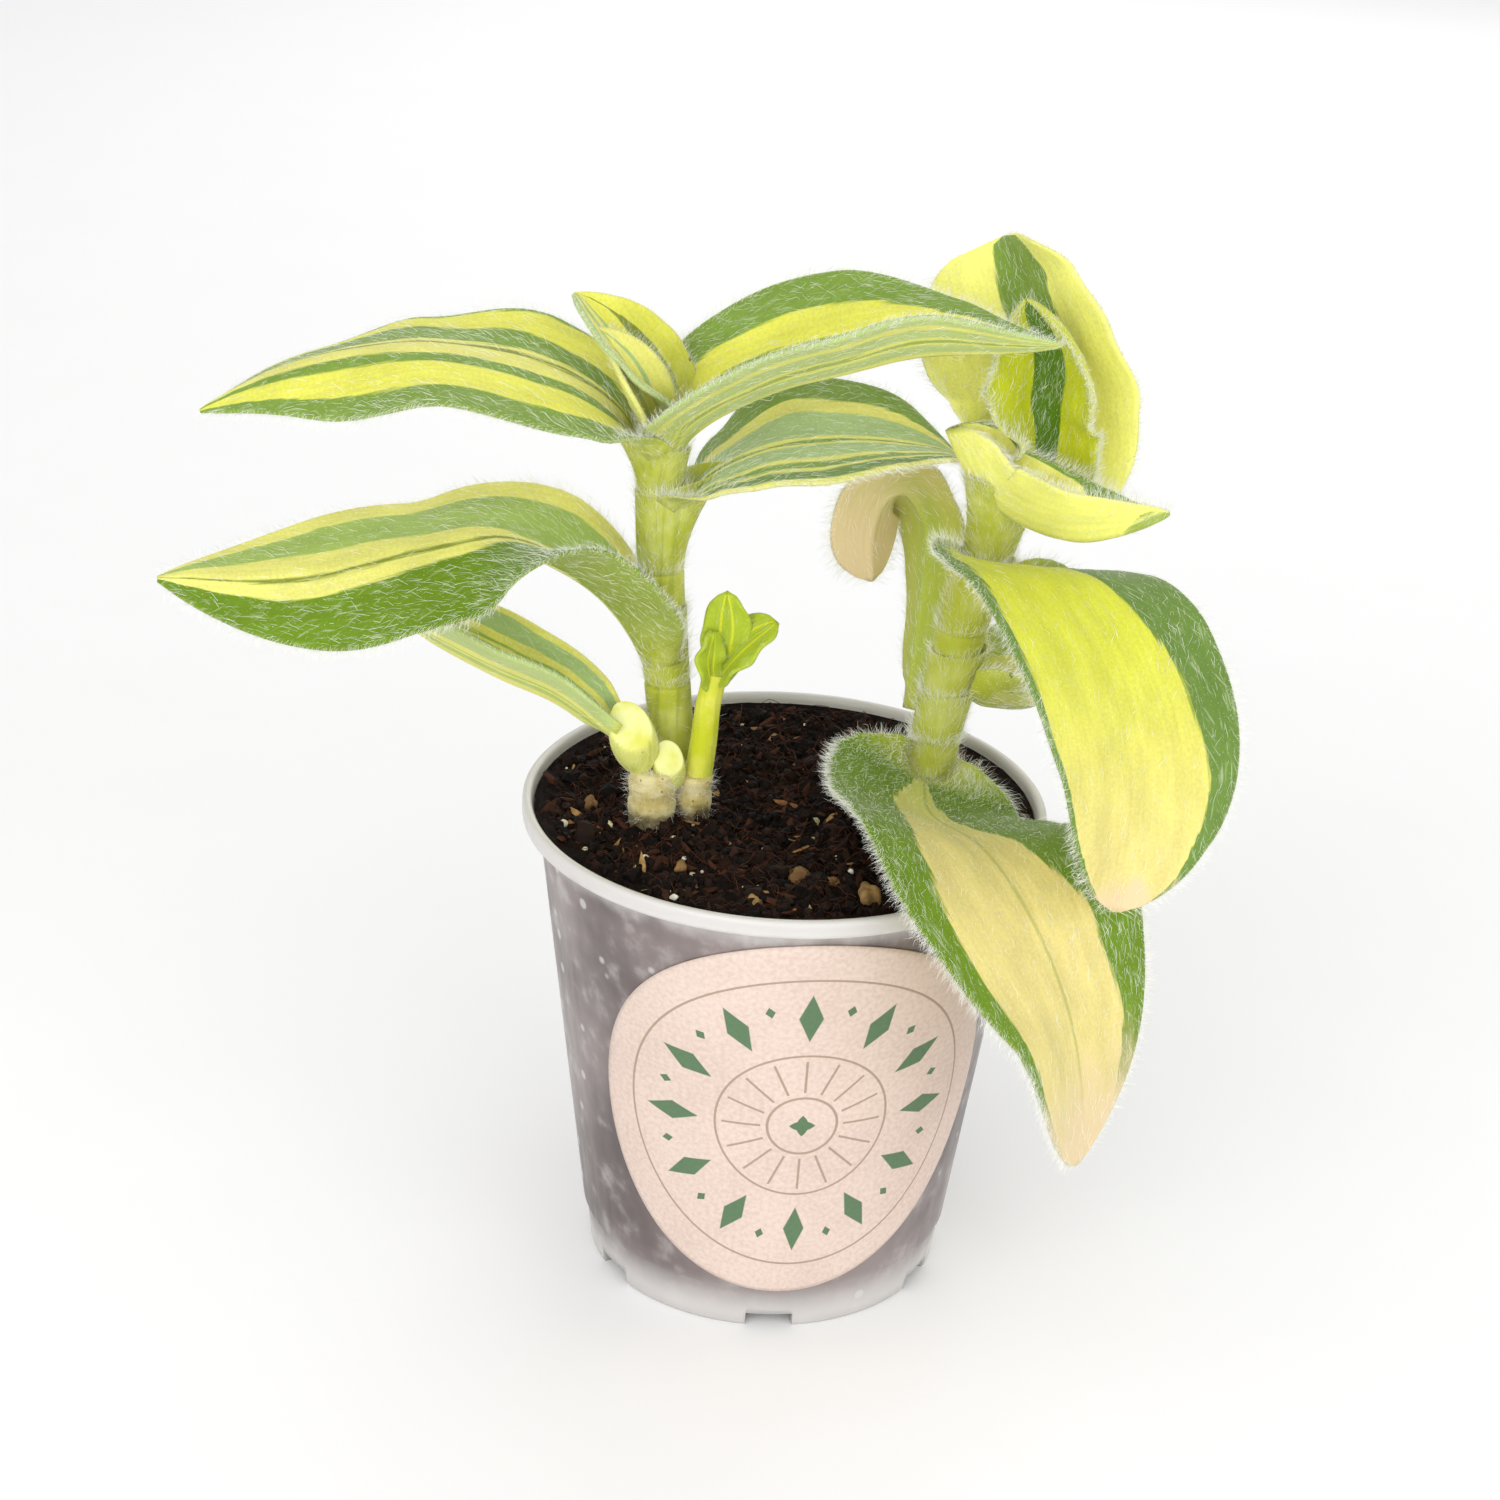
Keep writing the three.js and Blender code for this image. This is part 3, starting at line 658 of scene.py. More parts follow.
class CrumbGrower(Grower):
    """Loose grains strewn over a surface at any turn, each with a shade of its own."""

    def __init__(self) -> None:
        """Builds the tree once, for all that lies on the soil."""
        super().__init__("strewn_grains", {
            "Grains": "Collection", "Density": "Float", "Smallest": "Float", "Largest": "Float",
            "Tumble": "Float", "Seed": "Int", "Material": "Material",
        })

    def wire(self) -> None:
        """Scatters points, lays one grain on each and keeps a drawn shade on it."""
        w = self.wiring
        seed = self.given("Seed")
        open_ = w.stored("open")
        spots = w.node("GeometryNodeDistributePointsOnFaces", {
            "Mesh": self.given("Geometry"), "Density": w.times(self.given("Density"), open_),
            "Seed": seed, "Selection": self.facing_up(),
        }, distribute_method="RANDOM")
        tumble = self.given("Tumble")
        tilt = w.made("ShaderNodeCombineXYZ", {0: tumble, 1: tumble, 2: TURN})
        turned = w.vector("MULTIPLY", {0: tilt, 1: w.drawn((-1, -1, -1), (1, 1, 1), seed)})
        rare = w.math("POWER", w.drawn(0.0, 1.0, w.plus(seed, 5)), 2.2)
        reach = w.minus(self.given("Largest"), self.given("Smallest"))
        scale = w.plus(self.given("Smallest"), w.times(reach, rare))
        laid = self.placed(spots, "Grains", turned, scale)
        kept = w.node("GeometryNodeStoreNamedAttribute", {
            "Geometry": laid, "Name": "shade", "Value": w.drawn(0.0, 1.0, w.plus(seed, 9)),
        }, data_type="FLOAT", domain="INSTANCE")
        self.finish(w.out(kept))

    def facing_up(self) -> Socket:
        """Only the faces that look upwards."""
        w = self.wiring
        parts = w.node("ShaderNodeSeparateXYZ", {"Vector": w.node("GeometryNodeInputNormal")})
        steep = {0: w.out(parts, "Z"), 1: 0.3}
        return w.made("FunctionNodeCompare", steep, data_type="FLOAT", operation="GREATER_THAN")


class RodGrower(Grower):
    """A round rod that follows a path, as thick at each point as the path says."""

    def __init__(self) -> None:
        """Builds the tree once, for the stems, the canes and the fibres."""
        super().__init__("rod_along_path", {"Sides": "Int", "Material": "Material"})

    def wire(self) -> None:
        """Sweeps a circle along the path and closes its ends."""
        w = self.wiring
        path = w.node("GeometryNodeMeshToCurve", {0: self.given("Geometry")})
        thick = w.stored("thick")
        sized = w.node("GeometryNodeSetCurveRadius", {"Curve": w.out(path), "Radius": thick})
        round_ = {"Resolution": self.given("Sides"), "Radius": 1.0}
        circle = w.node("GeometryNodeCurvePrimitiveCircle", round_, mode="RADIUS")
        closed = {"Curve": sized, "Profile Curve": circle, "Fill Caps": True}
        swept = w.node("GeometryNodeCurveToMesh", closed)
        if any(socket.name == "Scale" for socket in swept.inputs):
            w.feed(swept, "Scale", thick)
        self.finish(w.out(swept))

    def sweep(self, name: str, paths: list[tuple[Points, Points]], sides: int, material: Material) -> Piece:
        """Makes rods from paths.

        Args:
            name: the piece's name.
            paths: for each rod its points and its radius at each, in millimetres.
            sides: how many sides a rod has.
            material: what it is painted with.

        Returns:
            The rods as one mesh object.
        """
        mesh = bpy.data.meshes.new(f"{name}_path")
        points = np.concatenate([line for line, _ in paths]) * MM + AXIS
        edges, first = [], 0
        for line, _ in paths:
            edges += [(first + k, first + k + 1) for k in range(len(line) - 1)]
            first += len(line)
        mesh.from_pydata(points.tolist(), edges, [])
        thick = np.concatenate([radius for _, radius in paths]) * MM
        store(mesh, "thick", thick)
        host = bpy.data.objects.new(f"{name}_path", mesh)
        made = self.grow(host, name, Sides=sides, Material=material)
        bpy.data.objects.remove(host)
        made.data.shade_smooth()
        return made


def comb(piece: Piece, fuzz: float | Callable[[Points], Points], upwards: float = 0.6) -> None:
    """Stores how thick and which way a piece's hairs grow.

    Args:
        piece: the mesh object.
        fuzz: a number, or a function of the points' heights in millimetres.
        upwards: how far the hairs lean up.
    """
    mesh = piece.data
    heights = np.array([vertex.co.z for vertex in mesh.vertices]) / MM
    nap = np.array([tuple(vertex.normal) for vertex in mesh.vertices]) * 0.4 + (0, 0, upwards)
    values = fuzz(heights) if callable(fuzz) else np.full(len(heights), float(fuzz))
    store(mesh, "fuzz", values)
    store(mesh, "nap", nap)


@dataclass(frozen=True)
class Band:
    """One lengthwise stripe of a leaf.

    Attributes:
        paint: its colour.
        until: where it ends across the leaf, from 0 at one margin to 1 at the other, at equal steps
            from base to tip.
    """

    paint: Paint
    until: Steps = (1.0,)

    def edge(self, s: Points) -> Points:
        """Where the stripe ends across the leaf, at shares of the leaf's length."""
        return along(self.until, s) if len(self.until) > 1 else np.full_like(s, self.until[0])


def stripes(*steps: tuple) -> tuple[Band, ...]:
    """Stripes from one margin to the other, each written as its colour and where it ends."""
    return tuple(Band(step[0], tuple(step[1:]) or (1.0,)) for step in steps)


@dataclass(frozen=True)
class StemSkin:
    """Fleshy stem skin: pale green, streaked lengthwise with olive."""

    name: str
    body: Paint = Paint.SHEATH
    streak: Paint = Paint.OLIVE
    pale: Paint = Paint.SHEATH_PALE
    streaked: float = 0.45

    def colour(self, w: ShaderWiring) -> Socket:
        """Its colour, wired into a material."""
        return w.flesh(self.body, self.streak, self.pale, self.streaked)

    def material(self) -> Material:
        """Streaks along the stem, clouds and specks."""
        w = ShaderWiring(self.name)
        surface = w.place_mm()
        lines = w.streaks(surface, (1.3, 1.3, 0.07), 4)
        clouds = w.noise(surface, 0.25, 3)
        sliced = w.mix(w.spread(clouds, 0.4, 0.7), Paint.CUT, Paint.LEMON)
        colour = w.mix(w.attribute("cut"), self.colour(w), sliced)
        colour = w.tint(colour, w.specks(surface, 0.8, 0.09, 0.9), 0.5, Paint.SPECK)
        w.set(Base_Color=colour, Roughness=w.spread(clouds, 0.2, 0.8, 0.48, 0.66))
        w.set(Normal=w.bump(lines, 0.25, 0.1), Sheen_Weight=0.08, Sheen_Roughness=0.5)
        w.set(Specular_IOR_Level=0.25)
        w.set(Subsurface_Weight=0.2, Subsurface_Radius=(1.0, 1.0, 0.4), Subsurface_Scale=0.0015)
        return w.material


@dataclass(frozen=True)
class LeafSkin:
    """The striped, velvety skin of one leaf.

    Attributes:
        name: the material's name.
        bands: the stripes from one margin to the other.
        dry: the share of the leaf's length that has dried at its tip.
        dry_paint: the colour of the dried tip.
        young: the yellow stripes' colour at the leaf's base.
        young_reach: the share of the length over which that colour fades out.
        old: the yellow stripes' colour at the tip.
        old_from: where along the leaf that colour sets in.
        flush: how much of the leaf's length from its base is tinted like its sheath.
        glow: how much light passes through.
        rib: how plainly the midrib shows as a darker line.
    """

    name: str
    bands: tuple[Band, ...]
    dry: float = 0.0
    dry_paint: Paint = Paint.BEIGE
    young: Paint = Paint.LEMON
    young_reach: float = 0.0
    old: Paint = Paint.BUTTER
    old_from: float = 1.0
    flush: float = 0.16
    glow: float = 0.22
    rib: float = 0.0

    SOFT = 0.007

    def canonical(self) -> list[float]:
        """Where each stripe ends in the painted ramp."""
        return [band.edge(np.array([0.5]))[0] for band in self.bands]

    def across(self, u: Points, s: Points) -> Points:
        """Places across the leaf, moved so that every stripe's edge runs straight in the ramp."""
        edges = np.stack([np.zeros_like(s)] + [band.edge(s) for band in self.bands], axis=1)
        edges = np.maximum.accumulate(edges + np.arange(edges.shape[1]) * 1e-4, axis=1)
        straight = np.array([0.0] + self.canonical())
        return np.stack([np.interp(u[k], edges[k], straight) for k in range(len(s))])

    def greenness(self, painted: Points) -> Points:
        """1 where the stripe is green and 0 where it is yellow."""
        place = np.searchsorted(self.canonical(), painted.ravel(), side="left")
        green = np.array([float(band.paint in GREENS) for band in self.bands])
        return green[np.minimum(place, len(green) - 1)].reshape(painted.shape)

    def ramp(self, w: ShaderWiring, place: Socket) -> tuple[Socket, Socket]:
        """The stripes as a colour ramp whose alpha is 1 in the yellow ones.

        Args:
            w: the material being wired.
            place: the place across the leaf, from 0 to 1.

        Returns:
            The stripes' colour, and how yellow they are.
        """
        made = w.node("ShaderNodeValToRGB", {"Fac": place})
        elements = made.color_ramp.elements
        painted = [(*band.paint.linear[:3], float(band.paint not in GREENS)) for band in self.bands]
        elements[0].position, elements[0].color = 0.0, painted[0]
        elements[1].position, elements[1].color = 1.0, painted[-1]
        for edge, before, after in zip(self.canonical(), painted, painted[1:]):
            elements.new(edge - self.SOFT).color = before
            elements.new(edge + self.SOFT).color = after
        return w.out(made, "Color"), w.out(made, "Alpha")

    def down(self, w: ShaderWiring, surface: Socket) -> Socket:
        """Hairs too fine to model, pressed to the blade and leaning out from its midrib: 1 on a hair."""
        x, y, _ = w.split(surface)
        mirrored = w.made("ShaderNodeCombineXYZ", {0: w.math("ABSOLUTE", x), 1: y})
        lines = []
        for lean, crowd in ((0.5, 3.2), (-0.15, 2.6)):
            leaning = {"Vector": mirrored, "Angle": lean}
            turned = w.made("ShaderNodeVectorRotate", leaning, rotation_type="Z_AXIS")
            lines.append(w.spread(w.streaks(turned, (crowd, 0.28, 1), 2), 0.58, 0.72))
        return w.larger(*lines)

    def material(self, clasped: StemSkin = StemSkin("clasped")) -> Material:
        """Stripes with frayed edges, soft veins, mottling, down, specks, a pale underside, a dried tip.

        Args:
            clasped: the skin of the stem that the leaf's sheath wraps.

        Returns:
            The material.
        """
        w = ShaderWiring(self.name)
        painted, s, _ = w.split(w.map("bands"))
        surface = w.map("surface")
        fray = w.minus(w.streaks(surface, (1.6, 0.12, 1), 4), 0.5)
        place = w.plus(painted, w.times(fray, 0.07))
        colour, yellow = self.ramp(w, place)
        if self.young_reach > 0:
            colour = w.mix(w.times(yellow, w.spread(s, self.young_reach, 0)), colour, self.young)
        if self.old_from < 1:
            colour = w.mix(w.times(yellow, w.spread(s, self.old_from, 1)), colour, self.old)
        veins = w.streaks(surface, (1.9, 0.05, 1), 3)
        grain = w.noise(surface, 2.4, 4)
        clouds = w.streaks(surface, (0.3, 0.12, 1), 4)
        value = w.plus(w.spread(veins, 0.3, 0.7, -0.03, 0.03), w.spread(grain, 0.3, 0.7, 0.94, 1.06))
        value = w.plus(value, w.spread(clouds, 0.3, 0.7, -0.08, 0.08))
        colour = w.brightened(colour, value)
        hairy = w.times(self.down(w, surface), w.spread(yellow, 0, 1, 0.42, 0.2))
        colour = w.mix(hairy, colour, Paint.DOWN)
        if self.rib > 0:
            middle = w.spread(w.math("ABSOLUTE", w.split(surface)[0]), 0.4, 0.1)
            colour = w.tint(colour, middle, self.rib, Paint.OLIVE)
        colour = w.tint(colour, w.attribute("underside"), 0.32, Paint.SHEATH_PALE)
        colour = w.tint(colour, w.attribute("sheath"), 0.95, clasped.colour(w))
        if self.dry > 0:
            frayed = w.plus(s, w.times(w.minus(clouds, 0.5), 0.2))
            colour = w.mix(w.spread(frayed, 1 - self.dry, 1 - 0.25 * self.dry), colour, self.dry_paint)
        colour = w.tint(colour, w.specks(surface, 0.3, 0.055, 0.86), 0.7, Paint.SPECK)
        pores = w.bump(w.noise(surface, 4.0, 3), 0.3, 0.05)
        w.set(Base_Color=colour, Roughness=w.spread(grain, 0.2, 0.8, 0.52, 0.7))
        w.set(Normal=w.bump(veins, 0.2, 0.08, pores), Specular_IOR_Level=0.24)
        w.set(Sheen_Weight=0.08, Sheen_Roughness=0.45)
        w.set(Subsurface_Weight=self.glow, Subsurface_Radius=(1.0, 1.0, 0.35), Subsurface_Scale=0.0012)
        return w.material


@dataclass(frozen=True)
class CaneBark:
    """The dry buff skin of an old cut cane, with scars and a speckled foot."""

    name: str

    def material(self) -> Material:
        """Buff and straw with brown flecks."""
        w = ShaderWiring(self.name)
        surface = w.place_mm()
        clouds = w.noise(surface, 0.5, 4)
        lines = w.streaks(surface, (0.3, 0.3, 2.2), 3)
        colour = w.mix(w.spread(clouds, 0.35, 0.65), Paint.BUFF, Paint.STRAW)
        colour = w.tint(colour, w.spread(lines, 0.58, 0.75), 0.5, Paint.BARK)
        colour = w.tint(colour, w.specks(surface, 1.1, 0.2, 0.8), 0.6, Paint.SPECK)
        height = w.plus(w.split(surface)[2], w.times(clouds, 3.0))
        colour = w.mix(w.spread(height, 65.6, 63.4, 0.0, 0.85), colour, Paint.SOIL_BROWN)
        w.set(Base_Color=colour, Roughness=w.spread(clouds, 0.3, 0.7, 0.6, 0.8))
        w.set(Normal=w.bump(w.plus(clouds, lines), 0.5, 0.2), Sheen_Weight=0.15)
        return w.material


@dataclass(frozen=True)
class Wool:
    """The fine white hairs, with a faint painted glow."""

    name: str = "wool"
    paint: Paint = Paint.WOOL
    # painted glow: how strongly the hairs give off light of their own, as painted light
    painted_glow: float = 0.18

    def material(self) -> Material:
        """White, a little warmer in places, with a faint painted glow of their own."""
        w = ShaderWiring(self.name)
        tone = w.spread(w.noise(w.place(), 300, 2), 0.3, 0.7, 0.0, 0.35)
        w.set(Base_Color=w.mix(tone, self.paint, Paint.DOWN), Roughness=0.5, Specular_IOR_Level=0.3)
        w.set(Sheen_Weight=0.3, Sheen_Roughness=0.3)
        # Painted glow: the hairs emit a little light of their own so that strands in shade still read
        # white.
        w.set(Emission_Color=self.paint.linear, Emission_Strength=self.painted_glow)
        return w.material


@dataclass(frozen=True)
class FrostedPlastic:
    """Milky see-through plastic over dark wet soil, painted as it looks from outside."""

    name: str = "frosted_plastic"

    def material(self) -> Material:
        """Clouded soil shadow, pale grains against the wall, a milky rim and foot, and scuffs."""
        w = ShaderWiring(self.name)
        place = w.place()
        height = w.math("DIVIDE", w.split(place)[2], MM)
        clouds = w.noise(place, 55, 4)
        blotches = w.noise(place, 220, 4)
        colour = w.mix(w.spread(clouds, 0.32, 0.68), Paint.PLASTIC_DARK, Paint.PLASTIC)
        colour = w.tint(colour, w.spread(blotches, 0.5, 0.75), 0.35, Paint.PLASTIC_PALE)
        distance, drawn = w.cells(place, 330)
        fleck = w.times(w.spread(distance, 0.28, 0.16), w.math("GREATER_THAN", drawn, 0.83))
        colour = w.tint(colour, fleck, 0.6, Paint.PLASTIC_PALE)
        fill = w.plus(height, w.times(w.minus(blotches, 0.5), 3.0))
        for clear, milky, most in ((POT_HEIGHT - 5.5, POT_HEIGHT - 1.5, 0.93), (7.5, 1.5, 0.8)):
            colour = w.mix(w.spread(fill, clear, milky, 0.0, most), colour, Paint.PLASTIC_PALE)
        scuff = w.noise(w.stretched(place, (1, 1, 0.15)), 500, 3)
        w.set(Base_Color=colour, Roughness=w.spread(scuff, 0.3, 0.7, 0.3, 0.46), Specular_IOR_Level=0.5)
        w.set(Normal=w.bump(clouds, 0.2, 0.5), Coat_Weight=0.15, Coat_Roughness=0.25)
        w.set(Subsurface_Weight=0.15, Subsurface_Radius=(1.0, 0.95, 1.0), Subsurface_Scale=0.002)
        return w.material


@dataclass(frozen=True)
class StickerPaper:
    """Uncoated blush paper printed with a plain round ornament."""

    name: str = "sticker_paper"

    def ring(self, w: ShaderWiring, radius: Socket, at: float, width: float) -> Socket:
        """A printed circle: 1 on its line."""
        gap = w.math("ABSOLUTE", w.minus(radius, at))
        return w.spread(gap, width, width * 0.6)

    def spokes(self, w: ShaderWiring, angle: Socket, radius: Socket, count: int) -> Socket:
        """Distance to the nearest of evenly turned spokes, as an arc length."""
        share = w.math("FRACT", w.plus(w.times(angle, count / TURN), 0.5))
        off = w.math("ABSOLUTE", w.minus(share, 0.5))
        return w.times(w.times(off, TURN / count), radius)

    def lozenges(
        self, w: ShaderWiring, angle: Socket, radius: Socket, count: int, at: float, wide: float,
        tall: float,
    ) -> Socket:
        """Printed lozenges round a circle: 1 inside them."""
        off = w.math("DIVIDE", self.spokes(w, angle, radius, count), wide)
        out = w.math("DIVIDE", w.math("ABSOLUTE", w.minus(radius, at)), tall)
        return w.spread(w.plus(off, out), 1.06, 0.94)

    def material(self) -> Material:
        """Paper fibres and flecks under green lozenges and thin brown circles and rays."""
        w = ShaderWiring(self.name)
        paper = w.map("paper")
        x, y, _ = w.split(paper)
        radius = w.math("SQRT", w.plus(w.times(x, x), w.times(y, y)))
        angle = w.math("ARCTAN2", y, x)
        grain = w.noise(paper, 45, 3)
        clouds = w.noise(paper, 2.2, 3)
        mottled = w.plus(grain, w.times(clouds, 0.6))
        colour = w.mix(w.spread(mottled, 0.55, 1.1), Paint.PAPER, Paint.PAPER_FLECK)
        line = self.ring(w, radius, 0.16, 0.008)
        for at in (0.40, 0.82):
            line = w.larger(line, self.ring(w, radius, at, 0.007))
        rays = w.spread(self.spokes(w, angle, radius, 16), 0.0075, 0.004)
        reach = w.times(w.math("GREATER_THAN", radius, 0.19), w.math("LESS_THAN", radius, 0.37))
        line = w.larger(line, w.times(rays, reach))
        colour = w.tint(colour, line, 0.85, Paint.INK_BROWN)
        outer = self.lozenges(w, angle, radius, 12, 0.61, 0.052, 0.13)
        leafy = w.larger(outer, self.lozenges(w, angle, radius, 4, 0.0, 0.06, 0.06))
        turned = w.plus(angle, math.pi / 12)
        leafy = w.larger(leafy, self.lozenges(w, turned, radius, 12, 0.66, 0.022, 0.03))
        colour = w.tint(colour, leafy, 0.92, Paint.INK_GREEN)
        w.set(Base_Color=colour, Roughness=w.spread(grain, 0.3, 0.7, 0.62, 0.78))
        w.set(Normal=w.bump(grain, 0.25, 0.04), Specular_IOR_Level=0.3, Sheen_Weight=0.05)
        return w.material


@dataclass(frozen=True)
class Earth:
    """Dark damp potting soil."""

    name: str = "potting_soil"

    def material(self) -> Material:
        """Near-black with brown and reddish crumbs."""
        w = ShaderWiring(self.name)
        place = w.place()
        fine = w.noise(place, 900, 5, 0.65)
        clouds = w.noise(place, 160, 3)
        colour = w.mix(w.spread(fine, 0.42, 0.72), Paint.SOIL_DARK, Paint.SOIL_BROWN)
        colour = w.tint(colour, w.spread(clouds, 0.55, 0.75), 0.5, Paint.SOIL_RED)
        w.set(Base_Color=colour, Roughness=w.spread(fine, 0.3, 0.7, 0.7, 0.95))
        w.set(Normal=w.bump(fine, 0.8, 0.5), Specular_IOR_Level=0.12)
        return w.material


@dataclass(frozen=True)
class GrainSkin:
    """What one kind of loose grain on the soil is painted with, from its darkest to its palest."""

    name: str
    dark: Paint
    pale: Paint
    evenness: float = 1.0

    def material(self) -> Material:
        """A shade drawn for each grain, clouded and rough."""
        w = ShaderWiring(self.name)
        shade = w.math("POWER", w.attribute("shade"), self.evenness)
        fine = w.noise(w.place(), 1100, 4)
        colour = w.brightened(w.mix(shade, self.dark, self.pale), w.spread(fine, 0.3, 0.7, 0.7, 1.25))
        w.set(Base_Color=colour, Roughness=w.spread(fine, 0.3, 0.7, 0.65, 0.9))
        w.set(Normal=w.bump(fine, 0.6, 0.25), Specular_IOR_Level=0.15)
        return w.material


@dataclass
class Kit:
    """What the sub-assemblies share: the growers, the loose shapes that they place, and the wool."""

    hairs: HairGrower = field(default_factory=HairGrower)
    crumbs: CrumbGrower = field(default_factory=CrumbGrower)
    rods: RodGrower = field(default_factory=RodGrower)
    wool: Material = field(default_factory=lambda: Wool().material())
    strands: Loose = field(init=False)

    BENDS = ((0.2, 0.1), (0.3, -0.14), (0.0, 0.16), (0.0, -0.1), (0.0, 0.02))
    THICKNESS = 0.011

    def __post_init__(self) -> None:
        """Makes the strands once."""
        self.strands = bpy.data.collections.new("strands")
        for number, bend in enumerate(self.BENDS):
            self.strands.objects.link(self.strand(f"strand_{number}", bend))

    def strand(self, name: str, bend: Pair) -> Piece:
        """One three-sided hair of unit length that tapers to a point, bent in its middle or straight.

        Args:
            name: the object's name.
            bend: how far its middle and its tip stand off its straight line.

        Returns:
            The strand as an object.
        """
        middle, tip = bend
        rings = [(-0.03, 0.0, 1.0), (0.5, middle, 0.75)] if middle else [(-0.03, 0.0, 1.0)]
        points = []
        for height, off, share in rings:
            for k in range(3):
                angle = TURN * k / 3
                reach = self.THICKNESS * share
                aside = tip * height * height + reach * math.sin(angle)
                points.append((off + reach * math.cos(angle), aside, height))
        points.append((0.2 * middle, tip, 0.95))
        top = len(points) - 1
        faces = [(2, 1, 0)]
        faces += [(k, (k + 1) % 3, 3 + (k + 1) % 3, 3 + k) for k in range(3)] if middle else []
        faces += [(top - 3 + k, top - 3 + (k + 1) % 3, top) for k in range(3)]
        mesh = bpy.data.meshes.new(name)
        mesh.from_pydata(points, [], faces)
        mesh.shade_smooth()
        return bpy.data.objects.new(name, mesh)

    def grow_hairs(
        self, host: Piece, density: float, length: float, seed: int, lay: float = 0.9, rise: float = 0.16,
        wild: float = 0.3,
    ) -> Piece:
        """Covers a piece with its wool, as a piece of its own.

        Args:
            host: the piece that the hairs grow on.
            density: hairs a square millimetre where the fuzz is 1.
            length: a middling hair in millimetres.
            seed: the draw.
            lay: how far they lie along the nap.
            rise: how far they stand up.
            wild: how far they stray.

        Returns:
            The hairs.
        """
        thinned = density * 1.0
        made = self.hairs.grow(
            host, f"{host.name}_hairs", Strands=self.strands, Density=thinned / MM**2,
            Length=length * MM, Rise=rise, Lay=lay, Wild=wild, Seed=seed, Material=self.wool,
        )
        return settle(made, None)

    def clear(self) -> None:
        """Removes the loose shapes once everything is grown."""
        for strand in list(self.strands.objects):
            bpy.data.objects.remove(strand)
        bpy.data.collections.remove(self.strands)


@dataclass
class LeafBlade:
    """One leaf: a folded, rolled blade that clasps its stem, with a sheath round the stem below it.

    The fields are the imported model's own: the midrib from base to tip, the way its upper face looks at
    the base, how far it rolls about the midrib, folds along it and curls, in degrees at equal steps
    along the leaf, its width, and the outline's base, widest place and bluntness.
    """

    name: str
    midrib: tuple
    upper: Triple
    roll: Steps
    fold: Steps
    width: float
    skin: LeafSkin
    curl: Steps = (0, 0)
    base: float = 0.6
    belly: float = 0.5
    tip: float = 0.8
    grip: float = 0.0
    clasp: float = 0.12
    sheath: Pair | None = None
    wave: float = 0.14
    pleat: float = 0.05
    wool: float = 1.0
    seed: int = 1
    flare: float = 0.0
    pulled: Triple = (0.0, 0.0, 0.0)
    lopsided: float = 0.0
    rows: int = 56
    side: int = 20

    MIDRIB_THICKNESS = 1.5
    MARGIN_THICKNESS = 0.6
    PLEATS = 6

    def outline(self, s: Points) -> Points:
        """Half of the blade's width as a share of its widest."""
        swell = self.base + (1 - self.base) * np.sin(np.pi / 2 * np.clip(s / self.belly, 0, 1))
        taper = np.cos(np.pi / 2 * np.clip((s - self.belly) / (1 - self.belly), 0, 1)) ** self.tip
        rounded = 1.0 if self.grip else 0.3 + 0.7 * np.sqrt(np.clip(s / 0.08, 0, 1))
        return np.where(s < self.belly, swell * rounded, np.maximum(taper, 0.03))

    def frames(self, s: Points) -> tuple[Points, Points, Points, Points]:
        """The midrib's points, tangents, normals and sideways directions."""
        centre, tangent = Spine(self.midrib).at(s)
        upper = np.array(self.upper, float)
        carried = []
        for way in tangent:
            upper = unit(upper - upper.dot(way) * way)
            carried.append(upper)
        normal = turn(np.array(carried), tangent, np.radians(along(self.roll, s)))
        return centre, tangent, normal, np.cross(tangent, normal)

    def surface(self) -> dict[str, Points]:
        """The blade's middle surface as rows of points, with its directions and places.

        Returns:
            Arrays by name: point, normal, out and tangent, t across the blade from -1 to 1, s along it,
            half its width, and clasp, how closely it wraps its stem.
        """
        s = np.linspace(0, 1, self.rows + 1)
        centre, tangent, normal, across = self.frames(s)
        fold, curl = np.radians(along(self.fold, s)), np.radians(along(self.curl, s))
        clasp = 1 - smooth(s / self.clasp) if self.grip else np.zeros_like(s)
        half = self.width / 2 * self.outline(s) * (1 - clasp) + self.grip * CLASP_ANGLE * clasp
        steps = np.arange(1, self.side + 1)

        def slope(t: Points) -> Points:
            """How far the blade leans at a place across it, for every row."""
            spread = fold[:, None] * np.tanh(t / CREASE) + curl[:, None] * t
            return spread * (1 - clasp)[:, None] + CLASP_ANGLE * t * clasp[:, None]

        lean = slope((steps - 0.5) / self.side)
        stride = (half / self.side)[:, None]
        out, up = np.cumsum(np.cos(lean) * stride, axis=1), np.cumsum(np.sin(lean) * stride, axis=1)
        here = slope(steps / self.side)
        columns = {-1: [], 1: []}
        for side in (-1, 1):
            for k in range(self.side):
                wider = 1 + self.lopsided * (side > 0) * np.sin(np.pi * s)
                sideways = across * (side * out[:, k] * wider)[:, None]
                point = centre + sideways + normal * (up[:, k] * wider)[:, None]
                tilted = turn(normal, tangent, -side * here[:, k])
                outward = turn(across * side, tangent, -side * here[:, k])
                columns[side].append((point, tilted, outward))
        middle = (centre, normal, across)
        ordered = columns[-1][::-1] + [middle] + columns[1]
        point, tilted, outward = (np.stack([column[k] for column in ordered], axis=1) for k in range(3))
        t = np.arange(-self.side, self.side + 1) / self.side
        t, s = np.broadcast_arrays(t[None, :], s[:, None])
        return {
            "point": point, "normal": tilted, "out": outward, "t": t, "s": s,
            "tangent": np.broadcast_to(tangent[:, None, :], point.shape),
            "half": np.broadcast_to(half[:, None], t.shape),
            "clasp": np.broadcast_to(clasp[:, None], t.shape),
        }

